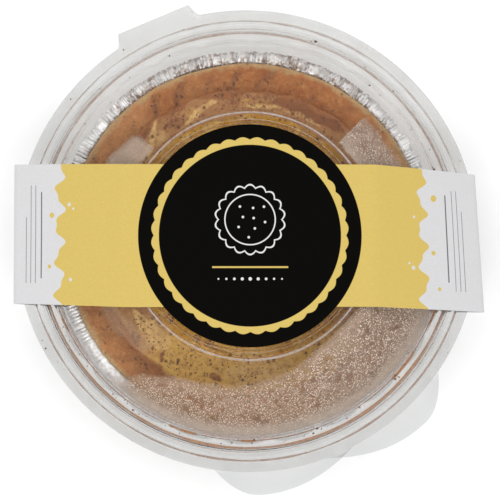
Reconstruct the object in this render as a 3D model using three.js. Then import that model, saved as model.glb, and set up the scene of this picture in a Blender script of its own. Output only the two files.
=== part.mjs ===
// A small custard pie in its shut retail pack, in millimetres, +Z up.
// The pie (pastry case and custard) sits in a pleated foil tin, the tin in a clear fluted tray,
// a clear domed lid is shut on the tray, and a paper band with a round face runs right round both.
// The origin is on the underside of the band, at the tray's axis. +X runs along the band.
import * as THREE from 'three';

// ---- driving dimensions ----
const GAP = 0.3; // clearance between pieces that touch
const SHEET = 0.45; // clear plastic
const CARD = 0.35; // paper band
const FOIL = 0.3; // pie tin

const FLANGE_R = 69.3; // outer radius of the tray's and the lid's flanges
const FLANGE_Z = 25.95; // middle of the tray's flange
const NEST = SHEET + GAP; // rise from the tray's sheet to the lid's
const BEAD_R = [63.0, 65.0]; // flat top of the snap bead
const BEAD_RISE = 1.05; // bead over flange
const BEAD_FOOT_R = 65.9; // where the flange starts
const SHELF_R = 62.2; // outer edge of the shelf inside the bead
const SHELF_Z = 24.6;

const FOOT_Z = CARD + GAP + SHEET / 2; // middle of the sheet at the tray's foot ring
const FOOT_R = [40.2, 46.6];
const PANEL_RISE = 1.25; // tray's middle panel over its foot
const WALL_R = [49.6, 59.4]; // tray wall between the flutes, bottom and top
const WALL_Z = [3.2, 24.0];
const FLUTES = 25;
const FLUTE_AT = 9.4; // degrees round from +X to the crest of the first flute
const FLUTE_DEPTH = 1.9; // at the top of the wall
const FLUTE_FOOT = 0.5; // share of that depth at the bottom

const PLATEAU_R = 35.9; // outer edge of the lid's flat top
const PLATEAU_Z = 42.4;
const RECESS_R = 33.2; // panel sunk inside the lid's stacking ring
const RECESS = 0.6;
const DOME_R = [36.8, 58.8]; // lid slope, top and bottom
const DOME_Z = [41.9, 26.3];
const DOME_BULGE = 1.25; // exponent of the slope: 1 is a plain cone
const DOME_STEPS = 3;
const GROOVE_R = [59.7, 61.3]; // lid's groove, inside the tray's bead
const LID_SIDES = 56;

const HINGE_AT = 113.2; // degrees round from +X
const HINGE_HALF = 9.2; // half of its angle
const HINGE_CHORD = 72.15; // its straight fold's distance from the axis
const HINGE_FILLET = 2.2; // degrees
const TABS_AT = 293.3; // middle between the two pull tabs
const TAB_REACH = 6.9;
const TAB_FAR = 31.8; // degrees from that middle to a tab's far end, its crest and its near end
const TAB_CREST = 20.8;
const TAB_NEAR = -3.6;

const PIE_OFFSET = [-0.35, -0.4]; // the tin lies a little off the tray's middle
const TIN_FLOOR_Z = FOOT_Z + PANEL_RISE + SHEET / 2 + GAP + FOIL / 2;
const TIN_R = [44.1, 55.2]; // wall, bottom and top
const TIN_TOP_Z = 22.3;
const TIN_LIP_R = 57.1;
const TIN_PLEATS = 24;
const PLEAT_DEPTH = 0.25;

const CRUST_FLOOR_Z = TIN_FLOOR_Z + FOIL / 2 + GAP;
const CRUST_EDGE_R = 54.3;
const CRUST_EDGE_Z = 22.7;
const CRUST_CREST_Z = 23.7;
const CRUST_FLOOR = 4.2; // thickness under the custard
const CRIMPS = 35;
const CRIMP_DEPTH = 0.45;

const CUSTARD_Z = 21.0; // its skin, near the edge
const CUSTARD_EDGE_R = 45.6;
const SKIN_RISE = 0.25; // its middle over its edge

const BAND_WIDTH = 41.4;
const DISC_R = 32.4; // round face over the plateau
const BAND_TOP_Z = PLATEAU_Z + SHEET / 2 + GAP + CARD / 2; // middle of the card
const BAND_FOLD_X = FLANGE_R + GAP + CARD / 2;
const BAND_FOOT_X = 49.2;
const BAND_SKEW = -0.0588; // the right fold leans by this much of its width
const BAND_DRIFT = [1.5, -1.3]; // sideways wander at the left and the right fold

const rad = THREE.MathUtils.degToRad;
const clamp01 = (v) => THREE.MathUtils.clamp(v, 0, 1);

// ---- outlines ----
// Distance in degrees from one direction to another, -180 to 180.
function turnFrom(angle, from) {
  return ((((angle - from) % 360) + 540) % 360) - 180;
}

// The hinge's straight fold beyond the round flange, with a fillet at each end.
function hingeReach(angle) {
  const off = Math.abs(turnFrom(angle, HINGE_AT));
  const chord = HINGE_CHORD / Math.cos(rad(Math.min(off, HINGE_HALF))) - FLANGE_R;
  const fade = clamp01((HINGE_HALF + HINGE_FILLET - off) / HINGE_FILLET);
  return chord * fade * fade;
}

// A pull tab beyond the flange: a steep rise at its far end and a long fall towards the other tab.
// side is +1 for the tab that lies past the middle and -1 for the one before it.
function tabReach(angle, side) {
  const off = turnFrom(angle, TABS_AT) * side;
  if (off >= TAB_CREST) {
    return TAB_REACH * Math.sin((clamp01((TAB_FAR - off) / (TAB_FAR - TAB_CREST)) * Math.PI) / 2);
  }
  return TAB_REACH * Math.cos((clamp01((TAB_CREST - off) / (TAB_CREST - TAB_NEAR)) * Math.PI) / 2);
}

function flangeRadius(angle, side) {
  return FLANGE_R + hingeReach(angle) + tabReach(angle, side);
}

// ---- centre lines, from the axis outwards, as [radius, height] ----
function flute(angle) {
  return FLUTE_DEPTH * (0.5 + 0.5 * Math.cos(rad(angle - FLUTE_AT) * FLUTES));
}

function trayLine(angle) {
  const panelZ = FOOT_Z + PANEL_RISE;
  return [
    [0, panelZ],
    [FOOT_R[0] - 1.6, panelZ],
    [FOOT_R[0], FOOT_Z],
    [FOOT_R[1], FOOT_Z],
    [WALL_R[0] + FLUTE_FOOT * flute(angle), WALL_Z[0]],
    [WALL_R[1] + flute(angle), WALL_Z[1]],
    [SHELF_R, SHELF_Z],
    [BEAD_R[0], FLANGE_Z + BEAD_RISE],
    [BEAD_R[1], FLANGE_Z + BEAD_RISE],
    [BEAD_FOOT_R, FLANGE_Z],
    [flangeRadius(angle, -1), FLANGE_Z],
  ];
}

function domeLine() {
  const line = [];
  for (let i = 0; i <= DOME_STEPS; i += 1) {
    const u = i / DOME_STEPS;
    const z = THREE.MathUtils.lerp(DOME_Z[0], DOME_Z[1], u ** DOME_BULGE);
    line.push([THREE.MathUtils.lerp(DOME_R[0], DOME_R[1], u), z]);
  }
  return line;
}

function lidLine(angle) {
  const beadZ = FLANGE_Z + BEAD_RISE + NEST + 0.1;
  return [
    [0, PLATEAU_Z - RECESS],
    [RECESS_R, PLATEAU_Z - RECESS],
    [RECESS_R + 0.7, PLATEAU_Z],
    [PLATEAU_R, PLATEAU_Z],
    ...domeLine(),
    [GROOVE_R[0], SHELF_Z + NEST + 0.05],
    [GROOVE_R[1], SHELF_Z + NEST + 0.05],
    [BEAD_R[0] - 0.7, beadZ],
    [BEAD_R[1] + 0.3, beadZ],
    [BEAD_FOOT_R + 0.3, FLANGE_Z + NEST],
    [flangeRadius(angle, 1), FLANGE_Z + NEST],
  ];
}

function tinLine(angle) {
  const pleat = PLEAT_DEPTH * Math.cos(rad(angle) * TIN_PLEATS);
  return [
    [0, TIN_FLOOR_Z],
    [TIN_R[0] - 1.1, TIN_FLOOR_Z],
    [TIN_R[0], TIN_FLOOR_Z + 0.6],
    [TIN_R[1] + pleat, TIN_TOP_Z],
    [TIN_R[1] + 0.7 + pleat, TIN_TOP_Z + 0.65],
    [TIN_LIP_R + pleat, TIN_TOP_Z + 0.3],
  ];
}

// ---- closed profiles ----
// A centre line given a wall thickness: its underside outwards, then its top back to the axis.
function thicken(line, thickness) {
  const half = thickness / 2;
  const normals = line.slice(1).map((p, i) => {
    const run = new THREE.Vector2(p[0] - line[i][0], p[1] - line[i][1]).normalize();
    return new THREE.Vector2(-run.y, run.x);
  });
  const offsets = line.map((p, i) => {
    const before = normals[Math.max(i - 1, 0)];
    const after = normals[Math.min(i, normals.length - 1)];
    const middle = before.clone().add(after).normalize();
    return middle.multiplyScalar(half / Math.max(middle.dot(before), 0.5));
  });
  const under = line.map((p, i) => [p[0] - offsets[i].x, p[1] - offsets[i].y]);
  const over = line.map((p, i) => [p[0] + offsets[i].x, p[1] + offsets[i].y]);
  under[0][0] = 0;
  over[0][0] = 0;
  return [...under, ...over.reverse()];
}

// Pastry case: outer wall, crimped edge and the hollow that the custard fills.
function crustProfile(angle) {
  const crimp = CRIMP_DEPTH * Math.cos(rad(angle) * CRIMPS);
  const floorZ = CRUST_FLOOR_Z;
  return [
    [0, floorZ],
    [TIN_R[0] - 1.8, floorZ],
    [TIN_R[0] - 0.9, floorZ + 0.6],
    [CRUST_EDGE_R - 0.4, CRUST_EDGE_Z - 1.2],
    [CRUST_EDGE_R, CRUST_EDGE_Z - 0.2],
    [CRUST_EDGE_R - 2.2, CRUST_CREST_Z + crimp],
    [CRUST_EDGE_R - 5.2, CRUST_CREST_Z - 0.8 + crimp],
    [CUSTARD_EDGE_R + 0.9, CUSTARD_Z + 0.2],
    [CUSTARD_EDGE_R - 0.4, CUSTARD_Z - 1.5],
    [CUSTARD_EDGE_R - 5.1, floorZ + CRUST_FLOOR + 0.8],
    [0, floorZ + CRUST_FLOOR],
  ];
}

// The filling, with its skin a little higher in the middle.
function custardProfile() {
  const floorZ = CRUST_FLOOR_Z + CRUST_FLOOR + GAP;
  return [
    [0, floorZ],
    [CUSTARD_EDGE_R - 5.7, floorZ + 0.8],
    [CUSTARD_EDGE_R - 0.2, CUSTARD_Z - 0.3],
    [CUSTARD_EDGE_R - 1.1, CUSTARD_Z],
    [CUSTARD_EDGE_R * 0.55, CUSTARD_Z + SKIN_RISE],
    [0, CUSTARD_Z + SKIN_RISE + 0.05],
  ];
}

// ---- solids ----
function evenAngles(count, start = 0) {
  return Array.from({ length: count }, (_, i) => (start + (i * 360) / count) % 360);
}

// The even angles, with those near an extra one moved onto it, so that corners stay sharp.
function anglesWith(count, start, extras) {
  const angles = evenAngles(count, start);
  for (const extra of extras) {
    const free = angles.filter((angle) => !extras.includes(angle));
    const nearest = free.reduce((a, b) =>
      Math.abs(turnFrom(b, extra)) < Math.abs(turnFrom(a, extra)) ? b : a);
    angles[angles.indexOf(nearest)] = extra;
  }
  return angles.sort((a, b) => a - b);
}

function solidFrom(positions, triangles) {
  const geometry = new THREE.BufferGeometry();
  geometry.setAttribute('position', new THREE.Float32BufferAttribute(positions, 3));
  geometry.setIndex(triangles);
  geometry.computeVertexNormals();
  return geometry;
}

// Turns a profile that starts and ends on the axis. The profile may change with the angle.
function turned(profileAt, angles) {
  const positions = [];
  const triangles = [];
  const profiles = angles.map(profileAt);
  const last = profiles[0].length - 1;
  const rings = last - 1;
  profiles.forEach((profile, i) => {
    const a = rad(angles[i]);
    for (let j = 1; j < last; j += 1) {
      positions.push(profile[j][0] * Math.cos(a), profile[j][0] * Math.sin(a), profile[j][1]);
    }
  });
  const bottom = positions.length / 3;
  positions.push(0, 0, profiles[0][0][1], 0, 0, profiles[0][last][1]);
  for (let i = 0; i < angles.length; i += 1) {
    const here = i * rings;
    const next = ((i + 1) % angles.length) * rings;
    triangles.push(bottom, next, here);
    for (let j = 0; j < rings - 1; j += 1) {
      triangles.push(here + j, next + j, next + j + 1, here + j, next + j + 1, here + j + 1);
    }
    triangles.push(bottom + 1, here + rings - 1, next + rings - 1);
  }
  return solidFrom(positions, triangles);
}

// The card's route round the pack, clockwise from the plateau's left edge, as [x, height].
function bandRoute() {
  const half = BAND_WIDTH / 2;
  const neck = Math.sqrt(DISC_R ** 2 - half ** 2);
  const discSteps = 6;
  const top = [[-PLATEAU_R - 0.6, BAND_TOP_Z - 0.05], [-PLATEAU_R + 1.4, BAND_TOP_Z]];
  const round = [-DISC_R + 0.4, -neck - 3.4, -neck];
  for (let i = 1 - discSteps; i < discSteps; i += 1) {
    round.push(neck * Math.sin((i / discSteps) * (Math.PI / 2)));
  }
  round.push(neck, neck + 3.4, DISC_R - 0.4);
  top.push(...round.map((x) => [x, BAND_TOP_Z]));
  top.push([PLATEAU_R - 1.4, BAND_TOP_Z], [PLATEAU_R + 0.6, BAND_TOP_Z - 0.05]);
  const slope = [[37.6, BAND_TOP_Z - 0.4], [47.8, 38.2], [58.4, 33.35], [68.6, 28.6]];
  const fold = [[69.45, 28.05], [BAND_FOLD_X, 27.2], [BAND_FOLD_X, 25.5], [69.3, 24.6]];
  const under = [[62.6, 16.5], [56.0, 8.4], [BAND_FOOT_X + 0.5, 0.75], [BAND_FOOT_X - 0.7, CARD / 2]];
  const right = [...slope, ...fold, ...under];
  const left = right.map(([x, z]) => [-x, z]).reverse();
  return [...top, ...right, [6, CARD / 2], ...left];
}

// How far a point of the route is from the plateau towards a fold, 0 to 1.
function foldShare(x) {
  return clamp01((Math.abs(x) - PLATEAU_R) / (BAND_FOLD_X - PLATEAU_R));
}

function bandHalfWidth(x, z) {
  const onTop = z > BAND_TOP_Z - CARD;
  const disc = onTop ? Math.sqrt(Math.max(DISC_R ** 2 - x ** 2, 0)) : 0;
  return Math.max(BAND_WIDTH / 2, disc);
}

// One closed strip of card: at each station its outer and inner corners, joined round the loop.
function paperBand() {
  const route = bandRoute();
  const count = route.length;
  const positions = [];
  const triangles = [];
  route.forEach(([x, z], i) => {
    const before = route[(i + count - 1) % count];
    const after = route[(i + 1) % count];
    const run = new THREE.Vector2(after[0] - before[0], after[1] - before[1]).normalize();
    const out = new THREE.Vector2(-run.y, run.x).multiplyScalar(CARD / 2);
    const half = bandHalfWidth(x, z);
    const share = foldShare(x);
    const drift = x < 0 ? BAND_DRIFT[0] : BAND_DRIFT[1];
    for (const [side, face] of [[1, 1], [-1, 1], [-1, -1], [1, -1]]) {
      const y = side * half + drift * share;
      const skew = x > 0 ? BAND_SKEW * side * half * share : 0;
      positions.push(x + out.x * face + skew, y, Math.max(z + out.y * face, 0));
    }
  });
  for (let i = 0; i < count; i += 1) {
    const here = i * 4;
    const next = ((i + 1) % count) * 4;
    for (let k = 0; k < 4; k += 1) {
      const l = (k + 1) % 4;
      triangles.push(here + k, here + l, next + l, here + k, next + l, next + k);
    }
  }
  return solidFrom(positions, triangles);
}

// ---- the pack ----
function material(color, roughness, metalness = 0, opacity = 1) {
  const transparent = opacity < 1;
  return new THREE.MeshStandardMaterial({ color, roughness, metalness, opacity, transparent });
}

function piece(name, geometry, finish) {
  const mesh = new THREE.Mesh(geometry, finish);
  mesh.name = name;
  return mesh;
}

const clearPlastic = material(0xdedddb, 0.1, 0, 0.35);
const hingeEnds = [HINGE_AT - HINGE_HALF, HINGE_AT + HINGE_HALF];
const hingeFeet = [HINGE_AT - HINGE_HALF - HINGE_FILLET, HINGE_AT + HINGE_HALF + HINGE_FILLET];
const corners = [...hingeEnds, ...hingeFeet];
const trayAngles = anglesWith(FLUTES * 4, FLUTE_AT, [...corners, TABS_AT - TAB_FAR]);
const lidAngles = anglesWith(LID_SIDES, 0, [...corners, TABS_AT + TAB_FAR]);

const pie = new THREE.Group();
pie.position.set(PIE_OFFSET[0], PIE_OFFSET[1], 0);
pie.add(
  piece('foil_tin', turned((a) => thicken(tinLine(a), FOIL), evenAngles(TIN_PLEATS * 2)),
    material(0xd6d6d8, 0.3, 1)),
  piece('crust', turned(crustProfile, evenAngles(CRIMPS * 2)), material(0xa9693f, 0.8)),
  piece('custard', turned(custardProfile, evenAngles(40)), material(0xb08a4a, 0.6)),
);

const pack = new THREE.Group();
pack.name = 'custard_pie_pack';
pack.add(
  piece('tray', turned((a) => thicken(trayLine(a), SHEET), trayAngles), clearPlastic),
  piece('lid', turned((a) => thicken(lidLine(a), SHEET), lidAngles), clearPlastic),
  pie,
  piece('paper_band', paperBand(), material(0xd9bf66, 0.6)),
);

export default pack;
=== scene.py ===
"""Looks of a small custard pie in its shut retail pack.

The pie lies in a pleated foil tin, the tin in a clear fluted tray, a clear domed lid is shut on the
tray, and a printed paper band runs round both. Shapes are worked out in millimetres, with +Z up and
the tray's axis at the origin, and go into their meshes in metres.
"""
import logging
import math
from dataclasses import dataclass
from enum import Enum
from typing import Any, Callable, Sequence

import bpy
import numpy as np
from mathutils import Matrix, Vector


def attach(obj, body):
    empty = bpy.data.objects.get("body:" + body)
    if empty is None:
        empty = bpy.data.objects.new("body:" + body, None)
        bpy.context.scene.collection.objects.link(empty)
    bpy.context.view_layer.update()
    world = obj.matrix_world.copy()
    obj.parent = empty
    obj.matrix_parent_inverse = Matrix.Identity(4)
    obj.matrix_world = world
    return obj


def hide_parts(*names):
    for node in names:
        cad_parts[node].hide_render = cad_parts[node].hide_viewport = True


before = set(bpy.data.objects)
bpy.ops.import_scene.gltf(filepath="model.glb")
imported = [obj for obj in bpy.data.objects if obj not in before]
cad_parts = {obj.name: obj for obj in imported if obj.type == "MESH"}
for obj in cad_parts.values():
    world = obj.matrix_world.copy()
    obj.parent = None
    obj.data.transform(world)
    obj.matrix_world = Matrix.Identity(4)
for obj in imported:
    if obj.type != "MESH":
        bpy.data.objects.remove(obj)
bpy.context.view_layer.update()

Array = np.ndarray
Color = tuple[float, float, float]
Rows = tuple[tuple[float, ...], ...]
Socket = bpy.types.NodeSocket
Material = bpy.types.Material
Piece = bpy.types.Object
MM = 0.001
TURN = 2.0 * math.pi
log = logging.getLogger("custard_pie")


class Slot(Enum):
    """The record's material slots."""

    CLEAR = "clear_plastic"
    FOIL = "foil"
    PASTRY = "pastry"
    CUSTARD = "custard"
    CARD = "printed_card"


class Side(Enum):
    """Which of the two pull tabs a clear piece carries, as the sign of its turn from their middle."""

    LID = 1
    TRAY = -1


# ---------------------------------------------------------------- numbers over surfaces


def ease(t: Array) -> Array:
    """Goes from 0 to 1 as 3t^2 - 2t^3, and stays at 0 before and at 1 after."""
    t = np.clip(t, 0.0, 1.0)
    return t * t * (3.0 - 2.0 * t)


def between(x: Array, low: float, high: float, soft: float) -> Array:
    """1 from low to high and 0 outside, with both edges eased over the width soft."""
    return ease((x - low) / soft + 0.5) * ease((high - x) / soft + 0.5)


def turn_from(angle: Array, start: float) -> Array:
    """Degrees from one direction to another, -180 to 180."""
    return (np.asarray(angle) - start + 180.0) % 360.0 - 180.0


def lattice_noise(x: Array, y: Array, cells: tuple[int, int], seed: int) -> Array:
    """Smooth noise from -1 to 1 that repeats over the unit square.

    A random value sits on each corner of a lattice. In each cell the four corner values are blended
    by 3t^2 - 2t^3 along both sides.

    Args:
        x: Places along the first side, where 1 is one repeat.
        y: Places along the second side.
        cells: Cells of the lattice along both sides.
        seed: Start of the random values.

    Returns:
        The noise, of the shape of x and y together.
    """
    values = np.random.default_rng(seed).uniform(-1.0, 1.0, cells)
    u = np.asarray(x) * cells[0]
    v = np.asarray(y) * cells[1]
    i = np.floor(u).astype(int)
    j = np.floor(v).astype(int)
    s = ease(u - i)
    t = ease(v - j)
    near = values[i % cells[0], j % cells[1]] * (1 - s) + values[(i + 1) % cells[0], j % cells[1]] * s
    j = j + 1
    far = values[i % cells[0], j % cells[1]] * (1 - s) + values[(i + 1) % cells[0], j % cells[1]] * s
    return near * (1 - t) + far * t


def layered_noise(x: Array, y: Array, cells: tuple[int, int], seed: int, layers: int) -> Array:
    """Lattice noises added up, each with twice the cells and half the height of the one before.

    Args:
        x: Places along the first side, where 1 is one repeat.
        y: Places along the second side.
        cells: Cells of the first layer along both sides.
        seed: Start of the random values.
        layers: How many noises are added.

    Returns:
        The sum, roughly from -1.5 to 1.5.
    """
    total = np.zeros(np.broadcast(x, y).shape)
    for k in range(layers):
        total = total + lattice_noise(x, y, (cells[0] << k, cells[1] << k), seed + k) / (1 << k)
    return total


def directions(sides: int) -> Array:
    """Degrees of evenly spaced directions all round, from 0."""
    return np.arange(sides) * 360.0 / sides


def circle(count: int) -> Array:
    """Radians of evenly spaced points of a circle, from 0."""
    return np.arange(count) / count * TURN


def polar(radius: Array | float, angle: Array, height: Array) -> Array:
    """Points (r cos a, r sin a, z), with the angle in radians."""
    return np.stack([radius * np.cos(angle), radius * np.sin(angle), height], axis=-1)


# ---------------------------------------------------------------- profiles


def rounded_line(corners: Array, fillets: Sequence[float], steps: int) -> Array:
    """A line through corners, each rounded by a curve.

    A curve leaves the line one fillet length before its corner and comes back one after it, or nearly
    half of the way to the next corner where that is less. Between them it is the parabola
    (1-t)^2 a + 2t(1-t) corner + t^2 b.

    Args:
        corners: Corners as (..., corner, 2), with any number of lines at once.
        fillets: Fillet length at each inner corner, in mm.
        steps: Points on each curve.

    Returns:
        The lines as (..., point, 2).
    """
    t = np.linspace(0.0, 1.0, steps)[:, None]
    parts = [corners[..., :1, :]]
    for i, fillet in enumerate(fillets, start=1):
        here = corners[..., i:i + 1, :]
        ends = []
        for other in (corners[..., i - 1:i, :], corners[..., i + 1:i + 2, :]):
            way = other - here
            length = np.linalg.norm(way, axis=-1, keepdims=True)
            ends.append(here + way * np.minimum(fillet / length, 0.46))
        parts.append((1 - t) ** 2 * ends[0] + 2 * t * (1 - t) * here + t ** 2 * ends[1])
    parts.append(corners[..., -1:, :])
    return np.concatenate(parts, axis=-2)


def corner_rows(places: Sequence[tuple[Any, Any]], rows: int) -> Array:
    """Corners of one line for each direction, (row, corner, 2).

    Args:
        places: Radius and height of each corner, the same for all rows or one number for each.
        rows: How many directions there are.

    Returns:
        The corners of all rows.
    """
    none = np.zeros(rows)
    return np.stack([np.stack([r + none, z + none], axis=-1) for r, z in places], axis=1)


def evenly(line: Array, count: int) -> Array:
    """The same line with other points, spaced evenly along its length.

    Args:
        line: The line's points as (point, 2).
        count: How many points it is to have.

    Returns:
        The line as (count, 2).
    """
    steps = np.linalg.norm(np.diff(line, axis=0), axis=1)
    along = np.concatenate([[0.0], np.cumsum(steps)])
    places = np.linspace(0.0, along[-1], count)
    return np.stack([np.interp(places, along, line[:, k]) for k in range(2)], axis=1)


def thin_wall(line: Array, thickness: float) -> Array:
    """A closed profile round a centre line: its lower side outwards, then its upper side back.

    The normal at a place is the line's run (dr, dz) turned to (-dz, dr) and made of length 1. Half of
    the thickness goes to each side.

    Args:
        line: Centre lines as (..., point, 2), from the axis outwards.
        thickness: Wall thickness in mm.

    Returns:
        The profiles as (..., 2 * point, 2).
    """
    run = np.gradient(line, axis=-2)
    normal = np.stack([-run[..., 1], run[..., 0]], axis=-1)
    normal *= 0.5 * thickness / np.linalg.norm(normal, axis=-1, keepdims=True)
    return np.concatenate([line - normal, (line + normal)[..., ::-1, :]], axis=-2)


def both_sides(**values: Array) -> dict[str, Array]:
    """Numbers along a centre line, (angle, point), taken round to both sides of its thin wall."""
    return {name: np.concatenate([v, v[:, ::-1]], axis=1) for name, v in values.items()}


# ---------------------------------------------------------------- meshes


@dataclass
class Skin:
    """Points in millimetres, the faces between them and the values they carry."""

    points: Array
    faces: list[list[int]]
    values: dict[str, Array]

    def to_object(self, name: str, smooth_below: float | None = 40.0) -> Piece:
        """Makes a mesh object of the skin, in metres.

        Args:
            name: Name of the object and its mesh.
            smooth_below: Edges that bend more than this many degrees stay sharp; None shades flat.

        Returns:
            The new object, linked to the scene.
        """
        mesh = bpy.data.meshes.new(name)
        mesh.from_pydata((self.points * MM).tolist(), [], self.faces)
        for key, values in self.values.items():
            layer = mesh.attributes.new(key, "FLOAT", "POINT")
            layer.data.foreach_set("value", np.ascontiguousarray(values, dtype=np.float32).ravel())
        mesh.polygons.foreach_set("use_smooth", [smooth_below is not None] * len(mesh.polygons))
        if smooth_below is not None:
            mesh.set_sharp_from_angle(angle=math.radians(smooth_below))
        mesh.update()
        piece = bpy.data.objects.new(name, mesh)
        bpy.context.scene.collection.objects.link(piece)
        return piece


def grid_faces(rows: int, columns: int, wrap_rows: bool, wrap_columns: bool) -> Array:
    """Four corners of each face of a grid whose point (i, j) has the number i * columns + j.

    Args:
        rows: Rows of points.
        columns: Points in each row.
        wrap_rows: Whether the last row is joined to the first.
        wrap_columns: Whether the last point of a row is joined to its first.

    Returns:
        Corner numbers as (face, 4), in the order (i, j), (i+1, j), (i+1, j+1), (i, j+1).
    """
    i = np.arange(rows if wrap_rows else rows - 1)[:, None]
    j = np.arange(columns if wrap_columns else columns - 1)[None, :]
    below = (i + 1) % rows * columns
    right = (j + 1) % columns
    return np.stack([i * columns + j, below + j, below + right, i * columns + right], axis=-1).reshape(-1, 4)


def fan(tip: int, ring: Array) -> Array:
    """Triangles from a tip to each edge of a closed ring, as (tip, here, ahead)."""
    return np.stack([np.full(len(ring), tip), ring, np.roll(ring, -1)], axis=1)


def revolved(profile: Array, angles: Array, values: dict[str, Array] | None = None) -> Skin:
    """Turns closed profiles round the axis and shuts both ends with a point on it.

    The point k of the profile at angle a is (r cos a, r sin a, z).

    Args:
        profile: (angle, point, 2) radii and heights, from the axis outwards below and back above.
        angles: The angles in radians, rising.
        values: Numbers for each place of the profile, as (angle, point).

    Returns:
        The closed skin.
    """
    count, steps = profile.shape[:2]
    radius, height = profile[..., 0], profile[..., 1]
    points = polar(radius, angles[:, None], height).reshape(-1, 3)
    poles = np.array([[0, 0, height[:, 0].mean()], [0, 0, height[:, -1].mean()]])
    here = np.arange(count) * steps
    low, high = count * steps, count * steps + 1
    fans = np.concatenate([fan(low, here)[:, [0, 2, 1]], fan(high, here + steps - 1)])
    faces = grid_faces(count, steps, True, False).tolist() + fans.tolist()
    carried = {}
    for key, numbers in (values or {}).items():
        ends = [numbers[:, 0].mean(), numbers[:, -1].mean()]
        carried[key] = np.concatenate([np.broadcast_to(numbers, (count, steps)).ravel(), ends])
    return Skin(np.concatenate([points, poles]), faces, carried)


def joined(skins: Sequence[Skin]) -> Skin:
    """Several skins as one.

    Args:
        skins: The skins, which carry the same kinds of values.

    Returns:
        One skin with their points, faces and values in order.
    """
    starts = np.cumsum([0] + [len(s.points) for s in skins[:-1]])
    faces = [[int(start) + k for k in face] for start, s in zip(starts, skins) for face in s.faces]
    values = {key: np.concatenate([s.values[key] for s in skins]) for key in skins[0].values}
    return Skin(np.concatenate([s.points for s in skins]), faces, values)


def scattered(shape: Array, faces: Array, places: Array, frames: Array, values: dict[str, Array]) -> Skin:
    """Many copies of a small shape as one skin.

    Copy n has its points at place n + frame n times the shape's points.

    Args:
        shape: Points of the small shape, (point, 3), or a shape of its own for each copy.
        faces: Its triangles, (face, 3).
        places: Where the copies go, (copy, 3), in mm.
        frames: A 3 by 3 matrix for each copy, with its size and turn.
        values: One number for each copy.

    Returns:
        The joined skin.
    """
    shapes = np.broadcast_to(shape, (len(places),) + shape.shape[-2:])
    points = places[:, None, :] + np.einsum("nij,nkj->nki", frames, shapes)
    size = shape.shape[-2]
    numbers = faces[None] + (np.arange(len(places)) * size)[:, None, None]
    carried = {key: np.repeat(v, size) for key, v in values.items()}
    return Skin(points.reshape(-1, 3), numbers.reshape(-1, 3).tolist(), carried)


def finish_piece(piece: Piece, slot: Slot, material: Material, *nodes: str) -> None:
    """Dresses a piece, puts it on the pack's body and logs it.

    Args:
        piece: The finished mesh object.
        slot: The record's slot that it takes its finish from. It is not used.
        material: Its material.
        nodes: CAD nodes that it stands for.
    """
    piece.data.materials.append(material)
    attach(piece, "root")
    if nodes:
        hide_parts(*nodes)
    piece.data.calc_loop_triangles()
    log.info("%s: %d triangles", piece.name, len(piece.data.loop_triangles))


class Part:
    """A sub-assembly that is one piece. Its looks are a slot, a finish and the CAD node it stands for."""

    looks: tuple[Any, ...]

    def build(self) -> Piece:
        """The piece's mesh object, which each sub-assembly works out itself."""
        raise NotImplementedError

    def dress(self) -> None:
        """Builds the piece and finishes it with its looks."""
        slot, finish, *nodes = self.looks
        finish_piece(self.build(), slot, finish.material(), *nodes)


# ---------------------------------------------------------------- node sheets


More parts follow.
